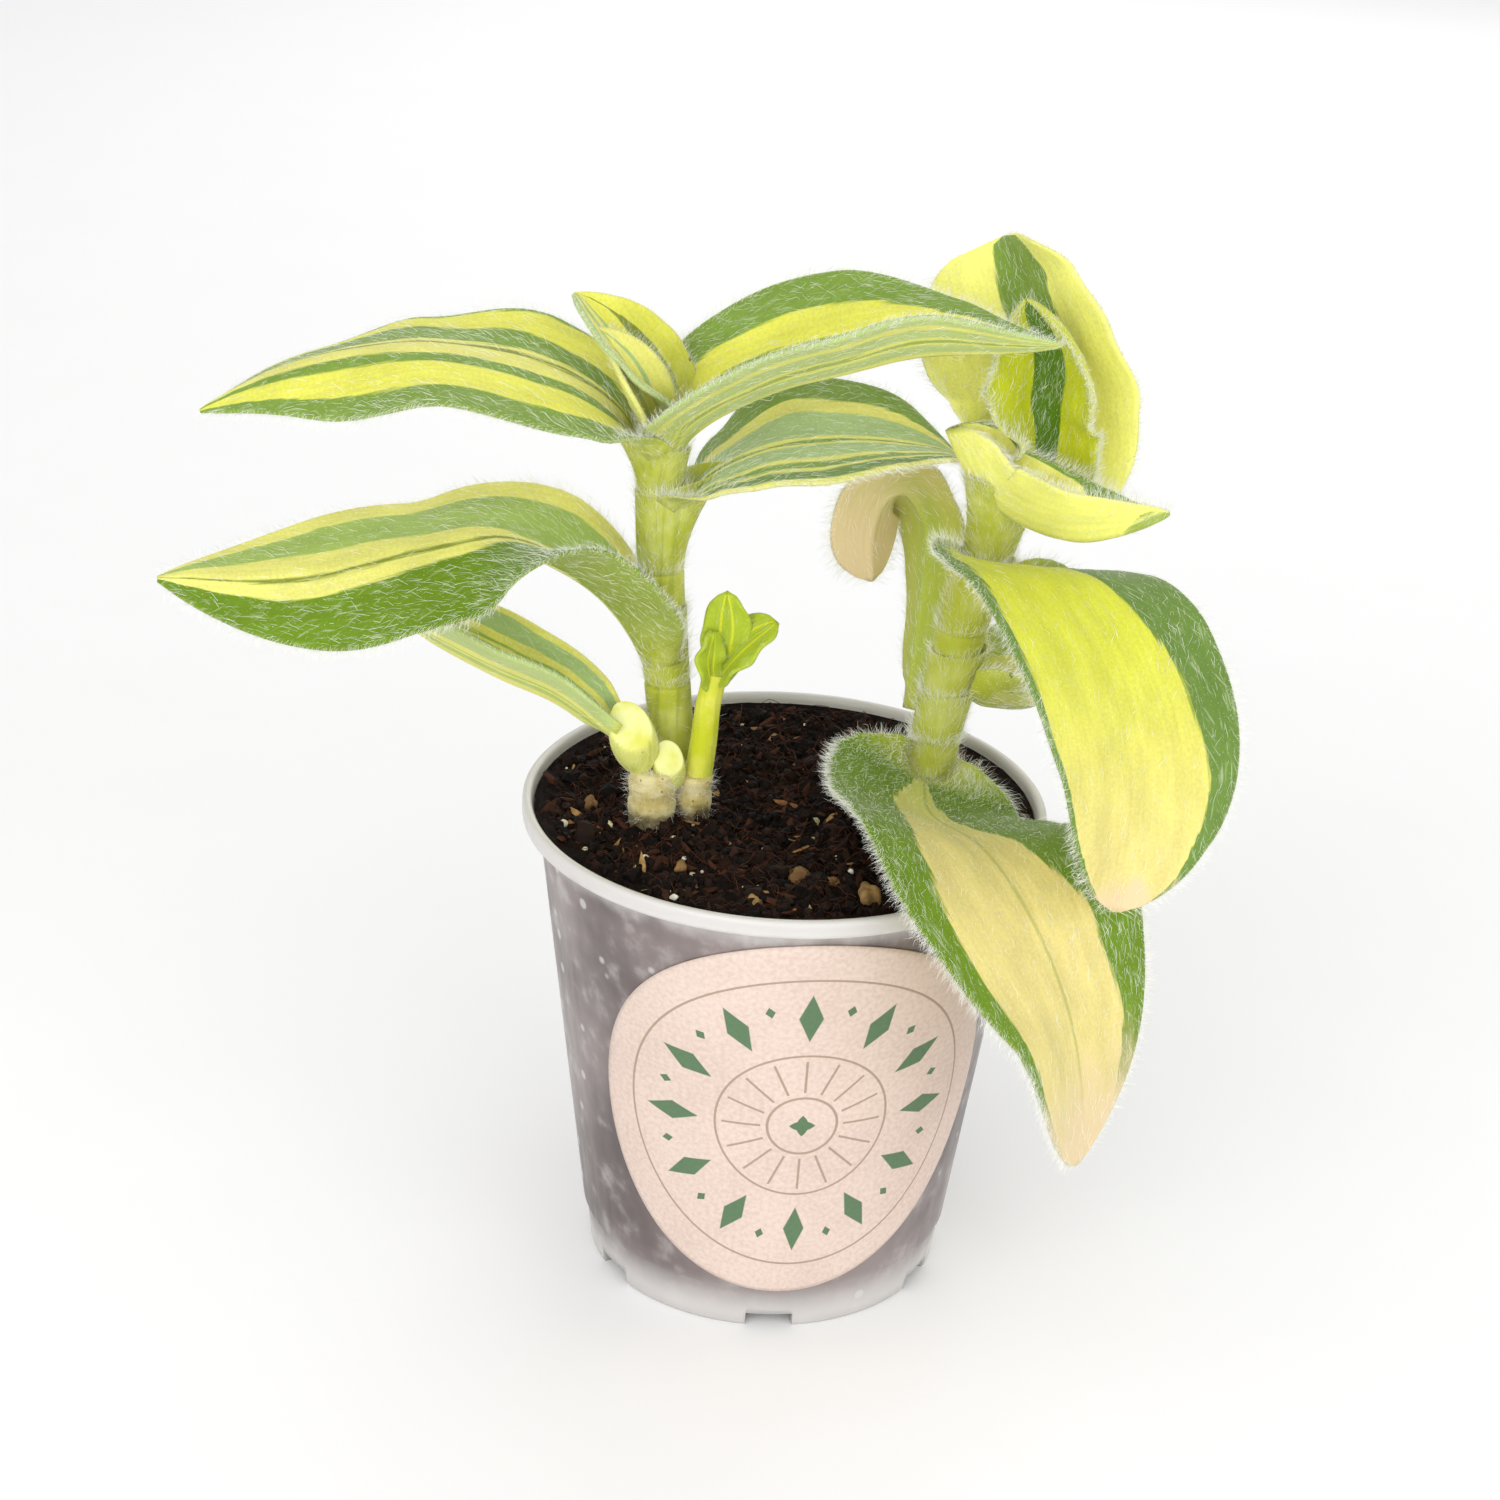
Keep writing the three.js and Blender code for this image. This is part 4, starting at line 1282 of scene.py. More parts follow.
    def thickness(self, t: Points, s: Points) -> Points:
        """The blade's thickness, thin at its margins and towards its tip."""
        middle = self.MIDRIB_THICKNESS + (self.MARGIN_THICKNESS - self.MIDRIB_THICKNESS) * np.abs(t) ** 0.8
        foot = 0.3 + 0.7 * smooth(s / self.clasp) if self.grip else 1.0
        return middle * foot * (0.35 + 0.65 * np.sqrt(np.clip((1 - s) / 0.08, 0, 1)))

    def add_blade(self, shape: Shape) -> None:
        """Adds the blade as a closed skin: its upper face, its rounded margins and its underside."""
        f = self.surface()
        t, s, point, normal = f["t"], f["s"], f["point"], f["normal"]
        thick = self.thickness(t, s)
        phase = 2.1 * self.seed
        waves = np.sin(TURN * (2.2 * s + 0.23 * np.sign(t)) + phase)
        ripple = self.wave * np.abs(t) ** 3 * waves * smooth(6 * (1 - s)) * smooth(4 * s)
        pleats = self.pleat * np.cos(TURN * self.PLEATS * t) * (1 - t**2) * smooth(5 * (1 - s))
        keel = 0.4 * np.exp(-((t / 0.07) ** 2)) * smooth(3 * (1 - s)) * (1 - f["clasp"])
        upper = point + normal * (thick / 2 + ripple + pleats)[..., None]
        lower = point - normal * (thick / 2 - ripple - pleats + keel)[..., None]
        rim = point + f["out"] * (thick / 2)[..., None] + normal * ripple[..., None]
        columns = 2 * self.side + 1
        loop = np.concatenate([upper, rim[:, -1:], lower[:, ::-1], rim[:, :1]], axis=1)
        size = loop.shape[1]
        faces = [face[::-1] for face in grid_faces(self.rows + 1, size, closed=True)]
        for row, flip in ((0, False), (self.rows, True)):
            faces += self.end_faces(row * size, columns, size, flip)
        order = list(range(columns)) + [columns - 1] + list(range(columns))[::-1] + [0]
        u = (t + 1) / 2
        painted = self.skin.across(u, s[:, 0])
        green = self.skin.greenness(painted)
        side = np.sign(t)
        margin = (np.abs(t) > 0.999).astype(float)
        outward = f["out"] * margin[..., None] * 1.1
        combed = f["tangent"] * (0.9 - 0.4 * margin)[..., None]
        nap = outward + combed + f["out"] * (0.35 * side * (1 - margin))[..., None]
        fuzz = (0.45 + 0.75 * green) * (1 + 2.2 * np.exp(-s / 0.1)) + 7 * margin
        length = Spine(self.midrib).lengths[-1]
        tops = np.zeros(size)
        tops[columns + 1 : size - 1] = 1
        tops[[columns, size - 1]] = 0.5
        shape.add(
            loop, faces,
            bands=np.stack([painted[:, order], s[:, order]], axis=-1).reshape(-1, 2),
            surface=np.stack([(t * f["half"])[:, order], s[:, order] * length], axis=-1).reshape(-1, 2),
            underside=np.broadcast_to(tops, loop.shape[:2]).ravel(),
            sheath=(1 - smooth(s / self.skin.flush))[:, order].ravel(),
            fuzz=fuzz[:, order].ravel() * self.wool,
            nap=nap[:, order].reshape(-1, 3),
        )

    def end_faces(self, first: int, columns: int, size: int, flip: bool) -> Faces:
        """Faces that close one end of the blade between its upper and lower face."""
        upper = [first + j for j in range(columns)]
        lower = [first + size - 2 - j for j in range(columns)]
        faces = [(upper[j], upper[j + 1], lower[j + 1], lower[j]) for j in range(columns - 1)]
        faces += [(upper[-1], first + columns, lower[-1]), (lower[0], first + size - 1, upper[0])]
        return [face[::-1] for face in faces] if flip else faces

    def add_sheath(self, shape: Shape, stem: "Stem") -> None:
        """Adds the sheath: a thin tube round the stem, flared at its mouth."""
        low, high = self.sheath
        share = np.concatenate([[0, 0.004], np.linspace(0.06, 0.94, 14), [0.99, 1]])
        sides, rows = 40, len(share)
        path = Spine(stem.path).between(low, high, share)
        funnel = self.flare * share**3
        inner = stem.radius + 0.08 + funnel
        outer = stem.radius + stem.BARE + 0.1 * np.sin(np.pi * share) + funnel
        angles = TURN * np.arange(sides) / sides
        round_ = np.stack([np.cos(angles), np.sin(angles), 0 * angles], axis=1)
        walls = [path[:, None] + round_[None] * radius[:, None, None] for radius in (outer, inner)]
        profile = np.concatenate([walls[0], walls[1][::-1]])
        drawn = np.array(self.pulled, float)
        towards = round_ @ unit(drawn * (1, 1, 0))
        there_and_back = np.concatenate([share, share[::-1]])
        pull = (there_and_back**2)[:, None, None] * (0.5 + 0.5 * towards)[None, :, None]
        profile = profile + pull * drawn
        around = 2 * rows
        faces = grid_faces(around, sides, closed=True)
        last = (around - 1) * sides
        faces += [(last + j, last + (j + 1) % sides, (j + 1) % sides, j) for j in range(sides)]
        turns = np.broadcast_to(angles[None, :] / TURN, (around, sides))
        heights = np.concatenate([path[:, 2], path[::-1, 2]])[:, None] * np.ones(sides)
        mouth = there_and_back[:, None] * np.ones(sides)
        shown = np.concatenate([np.ones(rows), np.zeros(rows)])[:, None] * np.ones(sides)
        shape.add(
            profile, faces,
            bands=np.stack([0.3 + 0.4 * turns, 0 * turns + 0.05], axis=-1).reshape(-1, 2),
            surface=np.stack([np.sin(TURN * turns) * 4 + turns, heights], axis=-1).reshape(-1, 2),
            underside=np.zeros(profile.shape[:2]).ravel(),
            sheath=np.ones(profile.shape[:2]).ravel(),
            fuzz=(shown * (1.1 + 6.0 * mouth**12 + 8.0 * (1 - mouth) ** 12)).ravel() * self.wool,
            nap=np.concatenate([round_ * 0.3 + (0, 0, 0.9)] * around),
        )

    def bare(self, name: str, slot: str, node: str) -> Piece:
        """The blade by itself, without a sheath, painted and settled."""
        shape = Shape()
        self.add_blade(shape)
        return settle(shape.build(name, self.skin.material()), slot, node)

    def build(self, kit: Kit, stem: "Stem", slot: str = "leaf") -> None:
        """Builds the leaf with its sheath, paints it and grows its hairs."""
        shape = Shape()
        self.add_blade(shape)
        if self.sheath:
            self.add_sheath(shape, stem)
        piece = shape.build(f"{self.name}_velvet", self.skin.material(stem.skin))
        settle(piece, slot, self.name)
        kit.grow_hairs(piece, 1.7, 2.0, self.seed)


@dataclass
class Stem:
    """A shoot's stem, as wide as its sheaths in between them and a little swollen below each.

    The sheaths are listed by the heights between which they wrap it.
    """

    name: str
    path: tuple
    radius: float
    wrapped: tuple[Pair, ...]
    skin: StemSkin
    seed: int = 5

    STEPS = 160
    SIDES = 36
    BARE = 0.42
    SWELLING = 0.06

    def build(self, kit: Kit) -> None:
        """Sweeps the stem, rounds off its tip and grows its hairs above the soil."""
        centre, _ = Spine(self.path).at(np.linspace(0, 1, self.STEPS))
        z = centre[:, 2]
        bare = np.min([smooth(np.maximum(low - z, z - high) / 0.35) for low, high in self.wrapped], axis=0)
        swollen = np.max([np.exp(-(((z - low) / 1.5) ** 2)) for low, _ in self.wrapped], axis=0)
        radius = self.radius + (self.BARE + self.SWELLING * swollen) * bare
        radius[-1] *= 0.8
        piece = kit.rods.sweep(f"{self.name}_rod", [(centre, radius)], self.SIDES, self.skin.material())
        settle(piece, "stem", self.name)
        comb(piece, self.fuzz)
        kit.grow_hairs(piece, 2.8, 1.5, self.seed, lay=0.8, rise=0.5, wild=0.5)

    def fuzz(self, heights: Points) -> Points:
        """How thick the hairs stand at each height: none in the soil, most at the foot."""
        return np.where(heights < STEM_BARE_TO, 0.0, 0.5 + 1.6 * np.exp(-(((heights - 62) / 4) ** 2)))


def swollen_body(
    centre: tuple, half: tuple, lean: float, rings: int = 24, sides: int = 32, lumps: float = 0.05,
    seed: float = 0.0,
) -> tuple[Points, list]:
    """An egg-shaped body, slightly uneven, leaning about Y.

    Args:
        centre: its middle.
        half: its three half sizes.
        lean: its lean in radians.
        rings: rings of points from pole to pole.
        sides: points round a ring.
        lumps: how uneven it is.
        seed: shifts the unevenness.

    Returns:
        Its points and its faces.
    """
    down = np.pi * (np.arange(rings) + 0.5) / rings
    round_ = TURN * np.arange(sides) / sides
    a, b = np.meshgrid(down, round_, indexing="ij")
    rounds = np.stack([np.sin(a) * np.cos(b), np.sin(a) * np.sin(b), np.cos(a)], axis=-1)
    ball, faces = closed_rings(rounds, (0, 0, 1), (0, 0, -1))
    uneven = 1 + lumps * np.sin(3 * ball[:, 0] + 2 * ball[:, 2] + seed) * np.cos(4 * ball[:, 1] + seed)
    points = ball * uneven[:, None] * np.array(half)
    c, s = math.cos(lean), math.sin(lean)
    tilt = np.array([[c, 0, s], [0, 1, 0], [-s, 0, c]])
    return points @ tilt.T + np.array(centre), faces


def swollen_piece(
    name: str, centre: tuple, half: tuple, lean: float, skin: StemSkin, cut: float = 9.0,
) -> Piece:
    """A swollen sheath as a piece of its own, hairiest at its foot, perhaps sliced flat in front.

    Args:
        name: the piece's name.
        centre: its middle.
        half: its three half sizes.
        lean: its lean in radians.
        skin: what it is painted with.
        cut: how far in front of its middle it is sliced, in millimetres.

    Returns:
        The piece.
    """
    points, faces = swollen_body(centre, half, lean, rings=36, sides=44)
    way = np.array(CUT_WAY)
    beyond = np.maximum((points - np.array(centre)) @ way - cut, 0)
    points = points - CUT_FLATNESS * beyond[:, None] * way
    height = (points[:, 2] - points[:, 2].min()) / np.ptp(points[:, 2])
    return one_body(
        name, skin.material(), points, faces, fuzz=(0.4 + 2.8 * (1 - height) ** 2) * (beyond == 0),
        cut=smooth(beyond / 0.25), nap=np.tile((0.0, -0.2, 0.8), (len(points), 1)),
    )


def cane_path(place: Pair, radius: float, top: float) -> tuple[Points, Points]:
    """The middle line and radius of a short cane that bulges at its scars and is cut at the top."""
    z = np.concatenate([np.linspace(ROOTED_FROM, top - 0.4, 44), [top - 0.15, top]])
    line = np.stack([np.full_like(z, place[0]), np.full_like(z, place[1]), z], axis=1)
    scars = 0.05 * np.sin(2.2 * z) + 0.03 * np.sin(5.1 * z + 1)
    thick = radius * (0.97 + scars * 0.6)
    thick[-2:] *= (0.95, 0.8)
    return line, thick


def cane_fuzz(most: float, foot: float) -> Callable[[Points], Points]:
    """How thick a cane's hairs stand at each height: none in the soil, most above its foot."""
    return lambda heights: np.where(heights < CANE_BARE_TO, 0.0, 0.4 + most * smooth((heights - foot) / 3))


@dataclass
class OldCaneWithLeaf:
    """The old cut cane in front of the left stem, and the last leaf that grows from its swollen sheath."""

    place: Pair = (-16.3, -4.6)
    radius: float = 3.0
    top: float = 68.3
    sheath_centre: tuple = (-18.9, -4.4, 72.2)
    sheath_half: tuple = (2.9, 2.6, 4.9)
    sheath_lean: float = -0.3
    leaf: LeafBlade | None = None

    def build(self, kit: Kit) -> None:
        """Builds the cane, its hairs, and the leaf with the swollen sheath."""
        path = cane_path(self.place, self.radius, self.top)
        cane = kit.rods.sweep("left_old_cane_rod", [path], 32, CaneBark("cane_bark").material())
        settle(cane, "old_cane", "left_old_cane")
        comb(cane, cane_fuzz(1.5, 64.5), 0.2)
        kit.grow_hairs(cane, 4.0, 1.4, 31, lay=0.7, rise=0.5, wild=0.6)
        blade = self.leaf.bare("left_old_leaf_blade", "leaf", "left_old_leaf")
        kit.grow_hairs(blade, 0.9, 1.3, 33)
        fresh = StemSkin("old_leaf_sheath_skin", Paint.SHEATH_PALE, Paint.LIME, Paint.BUTTER, 0.6)
        sheath = swollen_piece(
            "left_old_leaf_sheath", self.sheath_centre, self.sheath_half, self.sheath_lean, fresh, 1.7,
        )
        settle(sheath, "leaf", "left_old_leaf")
        kit.grow_hairs(sheath, 3.0, 1.0, 35)


@dataclass
class SideShoot:
    """A second cut cane with a fresh stem and three small bright leaves, grown as one."""

    place: Pair = (-11.3, -2.4)
    radius: float = 2.3
    top: float = 67.0
    stem_path: tuple = ((-11.2, -2.3, 64), (-10.4, -2, 70.7), (-10, -2, 76), (-9.2, -2, 80.5))
    stem_radius: float = 1.7
    scale_centre: tuple = (-14.4, -4.4, 68.7)
    scale_half: tuple = (2.0, 1.9, 3.4)
    scale_lean: float = -0.12
    leaves: tuple = (
        (((-9.3, -2, 79), (-8.2, -1.2, 84.6), (-8.3, -1.6, 91)), (0, -1, 0.3), 6.0),
        (((-9, -2, 79), (-5.8, -2.4, 84.2), (-2, -2.6, 87.7)), (-0.6, -0.6, 0.6), 6.4),
        (((-9.6, -2.2, 78.4), (-10.3, -3, 82), (-9.9, -3, 86.4)), (0.6, -0.8, 0), 4.0),
    )

    def build(self, kit: Kit) -> None:
        """Builds the cane, the stem with its leaves, the cut scale and their hairs."""
        path = cane_path(self.place, self.radius, self.top)
        cane = kit.rods.sweep("left_side_cane", [path], 28, CaneBark("side_cane_bark").material())
        settle(cane, "side_shoot", "left_side_shoot")
        comb(cane, cane_fuzz(1.3, 63.5), 0.2)
        kit.grow_hairs(cane, 4.0, 1.3, 41, lay=0.7, rise=0.5, wild=0.6)
        centre, _ = Spine(self.stem_path).at(np.linspace(0, 1, 30))
        thick = self.stem_radius * (1.06 - 0.2 * np.linspace(0, 1, 30))
        green = StemSkin("side_shoot_skin", Paint.CHARTREUSE, Paint.LIME, Paint.LEMON, 0.6)
        stem = kit.rods.sweep("left_side_stem", [(centre, thick)], 24, green.material())
        settle(stem, "side_shoot", "left_side_shoot")
        comb(stem, 0.35)
        kit.grow_hairs(stem, 1.6, 1.1, 43)
        skin = LeafSkin("side_shoot_leaf_skin", stripes(
            (Paint.LIME, 0.3), (Paint.CHARTREUSE, 0.36), (Paint.LIME, 0.64), (Paint.CHARTREUSE, 0.7),
            (Paint.LIME,),
        ), flush=0.05)
        shape = Shape()
        for number, (midrib, upper, width) in enumerate(self.leaves):
            LeafBlade(
                f"small_{number}", midrib, upper, (0, 0), (30, 20), width, skin, base=0.45, belly=0.55,
                tip=0.5, wave=0.35, pleat=0.03, wool=0.4, seed=number + 3, rows=28, side=10,
            ).add_blade(shape)
        leaves = shape.build("left_side_leaves", skin.material())
        settle(leaves, "side_shoot", "left_side_shoot")
        kit.grow_hairs(leaves, 1.0, 0.9, 45)
        fresh = StemSkin("cut_scale_skin", Paint.SHEATH_PALE, Paint.LIME, Paint.BUTTER, 0.6)
        scale = swollen_piece(
            "left_side_scale", self.scale_centre, self.scale_half, self.scale_lean, fresh, 1.1,
        )
        settle(scale, "side_shoot", "left_side_shoot")
        kit.grow_hairs(scale, 3.0, 1.0, 47)


@dataclass
class Bud:
    """The left shoot's youngest leaves, still rolled together at their foot."""

    outer: LeafBlade
    inner: LeafBlade
    foot_centre: tuple = (-16.8, 1.2, 112.6)
    foot_half: tuple = (1.7, 1.7, 2.6)

    def build(self, kit: Kit) -> None:
        """Builds the two blades and their swollen foot, each with its hairs."""
        for number, blade in enumerate((self.outer, self.inner)):
            piece = blade.bare(f"{blade.name}_blade", "young_leaf", "left_bud")
            kit.grow_hairs(piece, 2.4, 1.2, 51 + number)
        foot = swollen_piece(
            "left_bud_foot", self.foot_centre, self.foot_half, 0.0, StemSkin("left_bud_foot_skin"),
        )
        settle(foot, "young_leaf", "left_bud")
        kit.grow_hairs(foot, 1.3, 1.2, 55)


def wall_radius(height: Points | float) -> Points:
    """The pot wall's outer radius at a height."""
    return FOOT_RADIUS + (WALL_TOP_RADIUS - FOOT_RADIUS) * height / (POT_HEIGHT - RIM_BAND)


@dataclass
class NurseryPot:
    """The thin round nursery pot: a rolled rim, a tapered wall, a notched foot, and drain holes."""

    wall: float = 1.0
    rim_wall: float = 1.2
    floor_low: float = 2.0
    floor_high: float = 3.2
    foot_ring: float = 2.2
    notches: int = 6
    notch_width: float = 6.0
    first_notch: float = 4.0
    drain_holes: int = 6
    drain_radius: float = 2.5
    drain_circle: float = 14.0
    step_height: float = 6.4
    step_depth: float = 0.35

    SEGMENTS = 216
    NUDGES = (-0.08, 0.08)

    def profile(self) -> list[Pair]:
        """The pot's section from the middle of its underside round to the middle of its floor."""
        shoulder = POT_HEIGHT - RIM_BAND
        lip = RIM_RADIUS - self.rim_wall
        low = (0.35, 1.5, 3, 4.5, self.step_height - 0.5)
        outside = [(wall_radius(z) - self.step_depth, z) for z in low]
        outside += [(wall_radius(z), z) for z in np.linspace(self.step_height + 0.1, shoulder - 0.3, 22)]
        rises = ((0.35, 0.1), (0.05, 0.35), (0, 0.8), (0.12, 1.3), (0, 1.7))
        rounds = ((0.04, 0.3), (0.25, 0.06), (0.55, 0))
        rim = [(WALL_TOP_RADIUS + 0.25, shoulder - 0.05)]
        rim += [(RIM_RADIUS - back, shoulder + up) for back, up in rises]
        rim += [(RIM_RADIUS - back, POT_HEIGHT - down) for back, down in rounds]
        rim += [(lip + out, POT_HEIGHT - down) for out, down in ((0.3, 0.05), (0.05, 0.3), (0, 1.0))]
        rim += [(lip - 0.05, shoulder + 0.9)]
        downwards = np.linspace(shoulder - 0.4, self.floor_high + 0.6, 12)
        inside = [(wall_radius(z) - self.wall, z) for z in downwards]
        corner = wall_radius(self.floor_high) - self.wall - 0.6
        floor = [(radius, self.floor_high) for radius in (corner, 12.0, 0.0)]
        ring = FOOT_RADIUS - self.foot_ring
        foot = [(radius, self.floor_low) for radius in (0.0, 12.0, ring)]
        foot += [(ring + 0.25, 0.3), (ring + 0.5, 0.0), (FOOT_RADIUS - 0.6, 0.0)]
        return foot + outside + rim + inside + floor

    def angles(self) -> Points:
        """Where the columns of points stand, with two close together at each edge of a notch."""
        even = np.linspace(0, 360, self.SEGMENTS, endpoint=False)
        reach = math.degrees(math.asin(self.notch_width / 2 / FOOT_RADIUS))
        nudged = [side * (reach + nudge) for side in (-1, 1) for nudge in self.NUDGES]
        edges = [middle + off for middle in self.notch_middles() for off in nudged]
        return np.radians(np.unique(np.round(np.concatenate([even, np.mod(edges, 360)]), 4)))

    def notch_middles(self) -> list[float]:
        """The notches' middles, in degrees."""
        return [self.first_notch - 90 + 360 * k / self.notches for k in range(self.notches)]

    def build(self) -> None:
        """Turns the section, raises the foot at its notches, cuts the drain holes and paints it."""
        profile, angles = np.array(self.profile()), self.angles()
        count, rows = len(angles), profile[1:-1]
        r, z = np.repeat(rows[:, :1], count, axis=1), np.repeat(rows[:, 1:], count, axis=1)
        reach = math.degrees(math.asin(self.notch_width / 2 / FOOT_RADIUS))
        apart = [(np.degrees(angles) - middle + 180) % 360 - 180 for middle in self.notch_middles()]
        off = np.min(np.abs(apart), axis=0)
        raised = self.floor_low - 0.1
        z = np.where((off < reach)[None, :] & (z < raised), raised + 0.02 * z, z)
        rings = np.stack([r * np.cos(angles), r * np.sin(angles), z], axis=-1)
        points, faces = closed_rings(rings, (0, 0, profile[0][1]), (0, 0, profile[-1][1]))
        faces = [face[::-1] for face in faces]
        piece = one_body("pot_shell", FrostedPlastic().material(), points, faces)
        self.cut_drain_holes(piece)
        settle(piece, "pot_plastic", "pot")

    def cut_drain_holes(self, piece: Piece) -> None:
        """Cuts the round holes through the floor."""
        cutter = Shape()
        ring = TURN * np.arange(32) / 32
        for k in range(self.drain_holes):
            turned = TURN * k / self.drain_holes
            middle = np.array([self.drain_circle * math.cos(turned), self.drain_circle * math.sin(turned)])
            disc = np.stack([np.cos(ring), np.sin(ring)], axis=1) * self.drain_radius + middle
            ends = (self.floor_low - 1, self.floor_high + 1)
            walls = np.vstack([np.column_stack([disc, np.full(32, height)]) for height in ends])
            sides = grid_faces(2, 32, closed=True)
            cutter.add(walls, sides + [tuple(range(31, -1, -1)), tuple(range(32, 64))])
        tool = cutter.build("drain_cutter", piece.data.materials[0])
        modifier = piece.modifiers.new("drain", "BOOLEAN")
        modifier.object, modifier.operation, modifier.solver = tool, "DIFFERENCE", "MANIFOLD"
        cut = bpy.data.meshes.new_from_object(piece.evaluated_get(bpy.context.evaluated_depsgraph_get()))
        piece.modifiers.clear()
        piece.data = cut
        bpy.data.objects.remove(tool)


@dataclass
class RoundSticker:
    """The round paper label on the front of the pot's wall."""

    radius: float = 26.3
    thickness: float = 0.35
    lift: float = 0.06
    centre_height: float = 32.4
    turned: float = 9.0
    wobble: float = 0.012

    RINGS = 40
    SECTORS = 144

    def build(self) -> None:
        """Rolls a thin pebble-edged disc onto the wall's cone, with the disc's own flat map."""
        facing = math.radians(self.turned - 90)
        middle_radius = wall_radius(self.centre_height)
        shares = np.linspace(0, 1, self.RINGS + 1)[1:]
        angle = TURN * np.arange(self.SECTORS) / self.SECTORS
        edge = 1 + self.wobble * (np.cos(3 * angle + 0.6) + np.sin(2 * angle))
        layers, maps = [], []
        for lift in (self.lift + self.thickness, self.lift):
            reach = self.radius * shares[:, None] * edge[None, :]
            across = np.concatenate([[0.0], (reach * np.cos(angle)).ravel()])
            up = np.concatenate([[0.0], (reach * np.sin(angle)).ravel()])
            turned = facing + across / middle_radius
            soft = np.concatenate([[0.0], np.repeat(smooth((shares - 0.985) / 0.015), self.SECTORS)])
            height = self.centre_height + up
            radius = wall_radius(height) + lift - soft * (0.12 if lift > self.lift else 0.0)
            layers.append(np.stack([radius * np.cos(turned), radius * np.sin(turned), height], axis=1))
            maps.append(np.stack([across, up], axis=1) / self.radius)
        n, size = self.SECTORS, 1 + self.RINGS * self.SECTORS
        outward = [(0, 1 + j, 1 + (j + 1) % n) for j in range(n)]
        outward += [tuple(1 + k for k in face)[::-1] for face in grid_faces(self.RINGS, n, closed=True)]
        faces = outward + [tuple(size + k for k in face)[::-1] for face in outward]
        last = 1 + (self.RINGS - 1) * n
        under = size + last
        faces += [(last + j, under + j, under + (j + 1) % n, last + (j + 1) % n) for j in range(n)]
        paper = StickerPaper().material()
        sticker = one_body("round_sticker", paper, np.vstack(layers), faces, paper=np.vstack(maps))
        settle(sticker, "label_paper", "label")


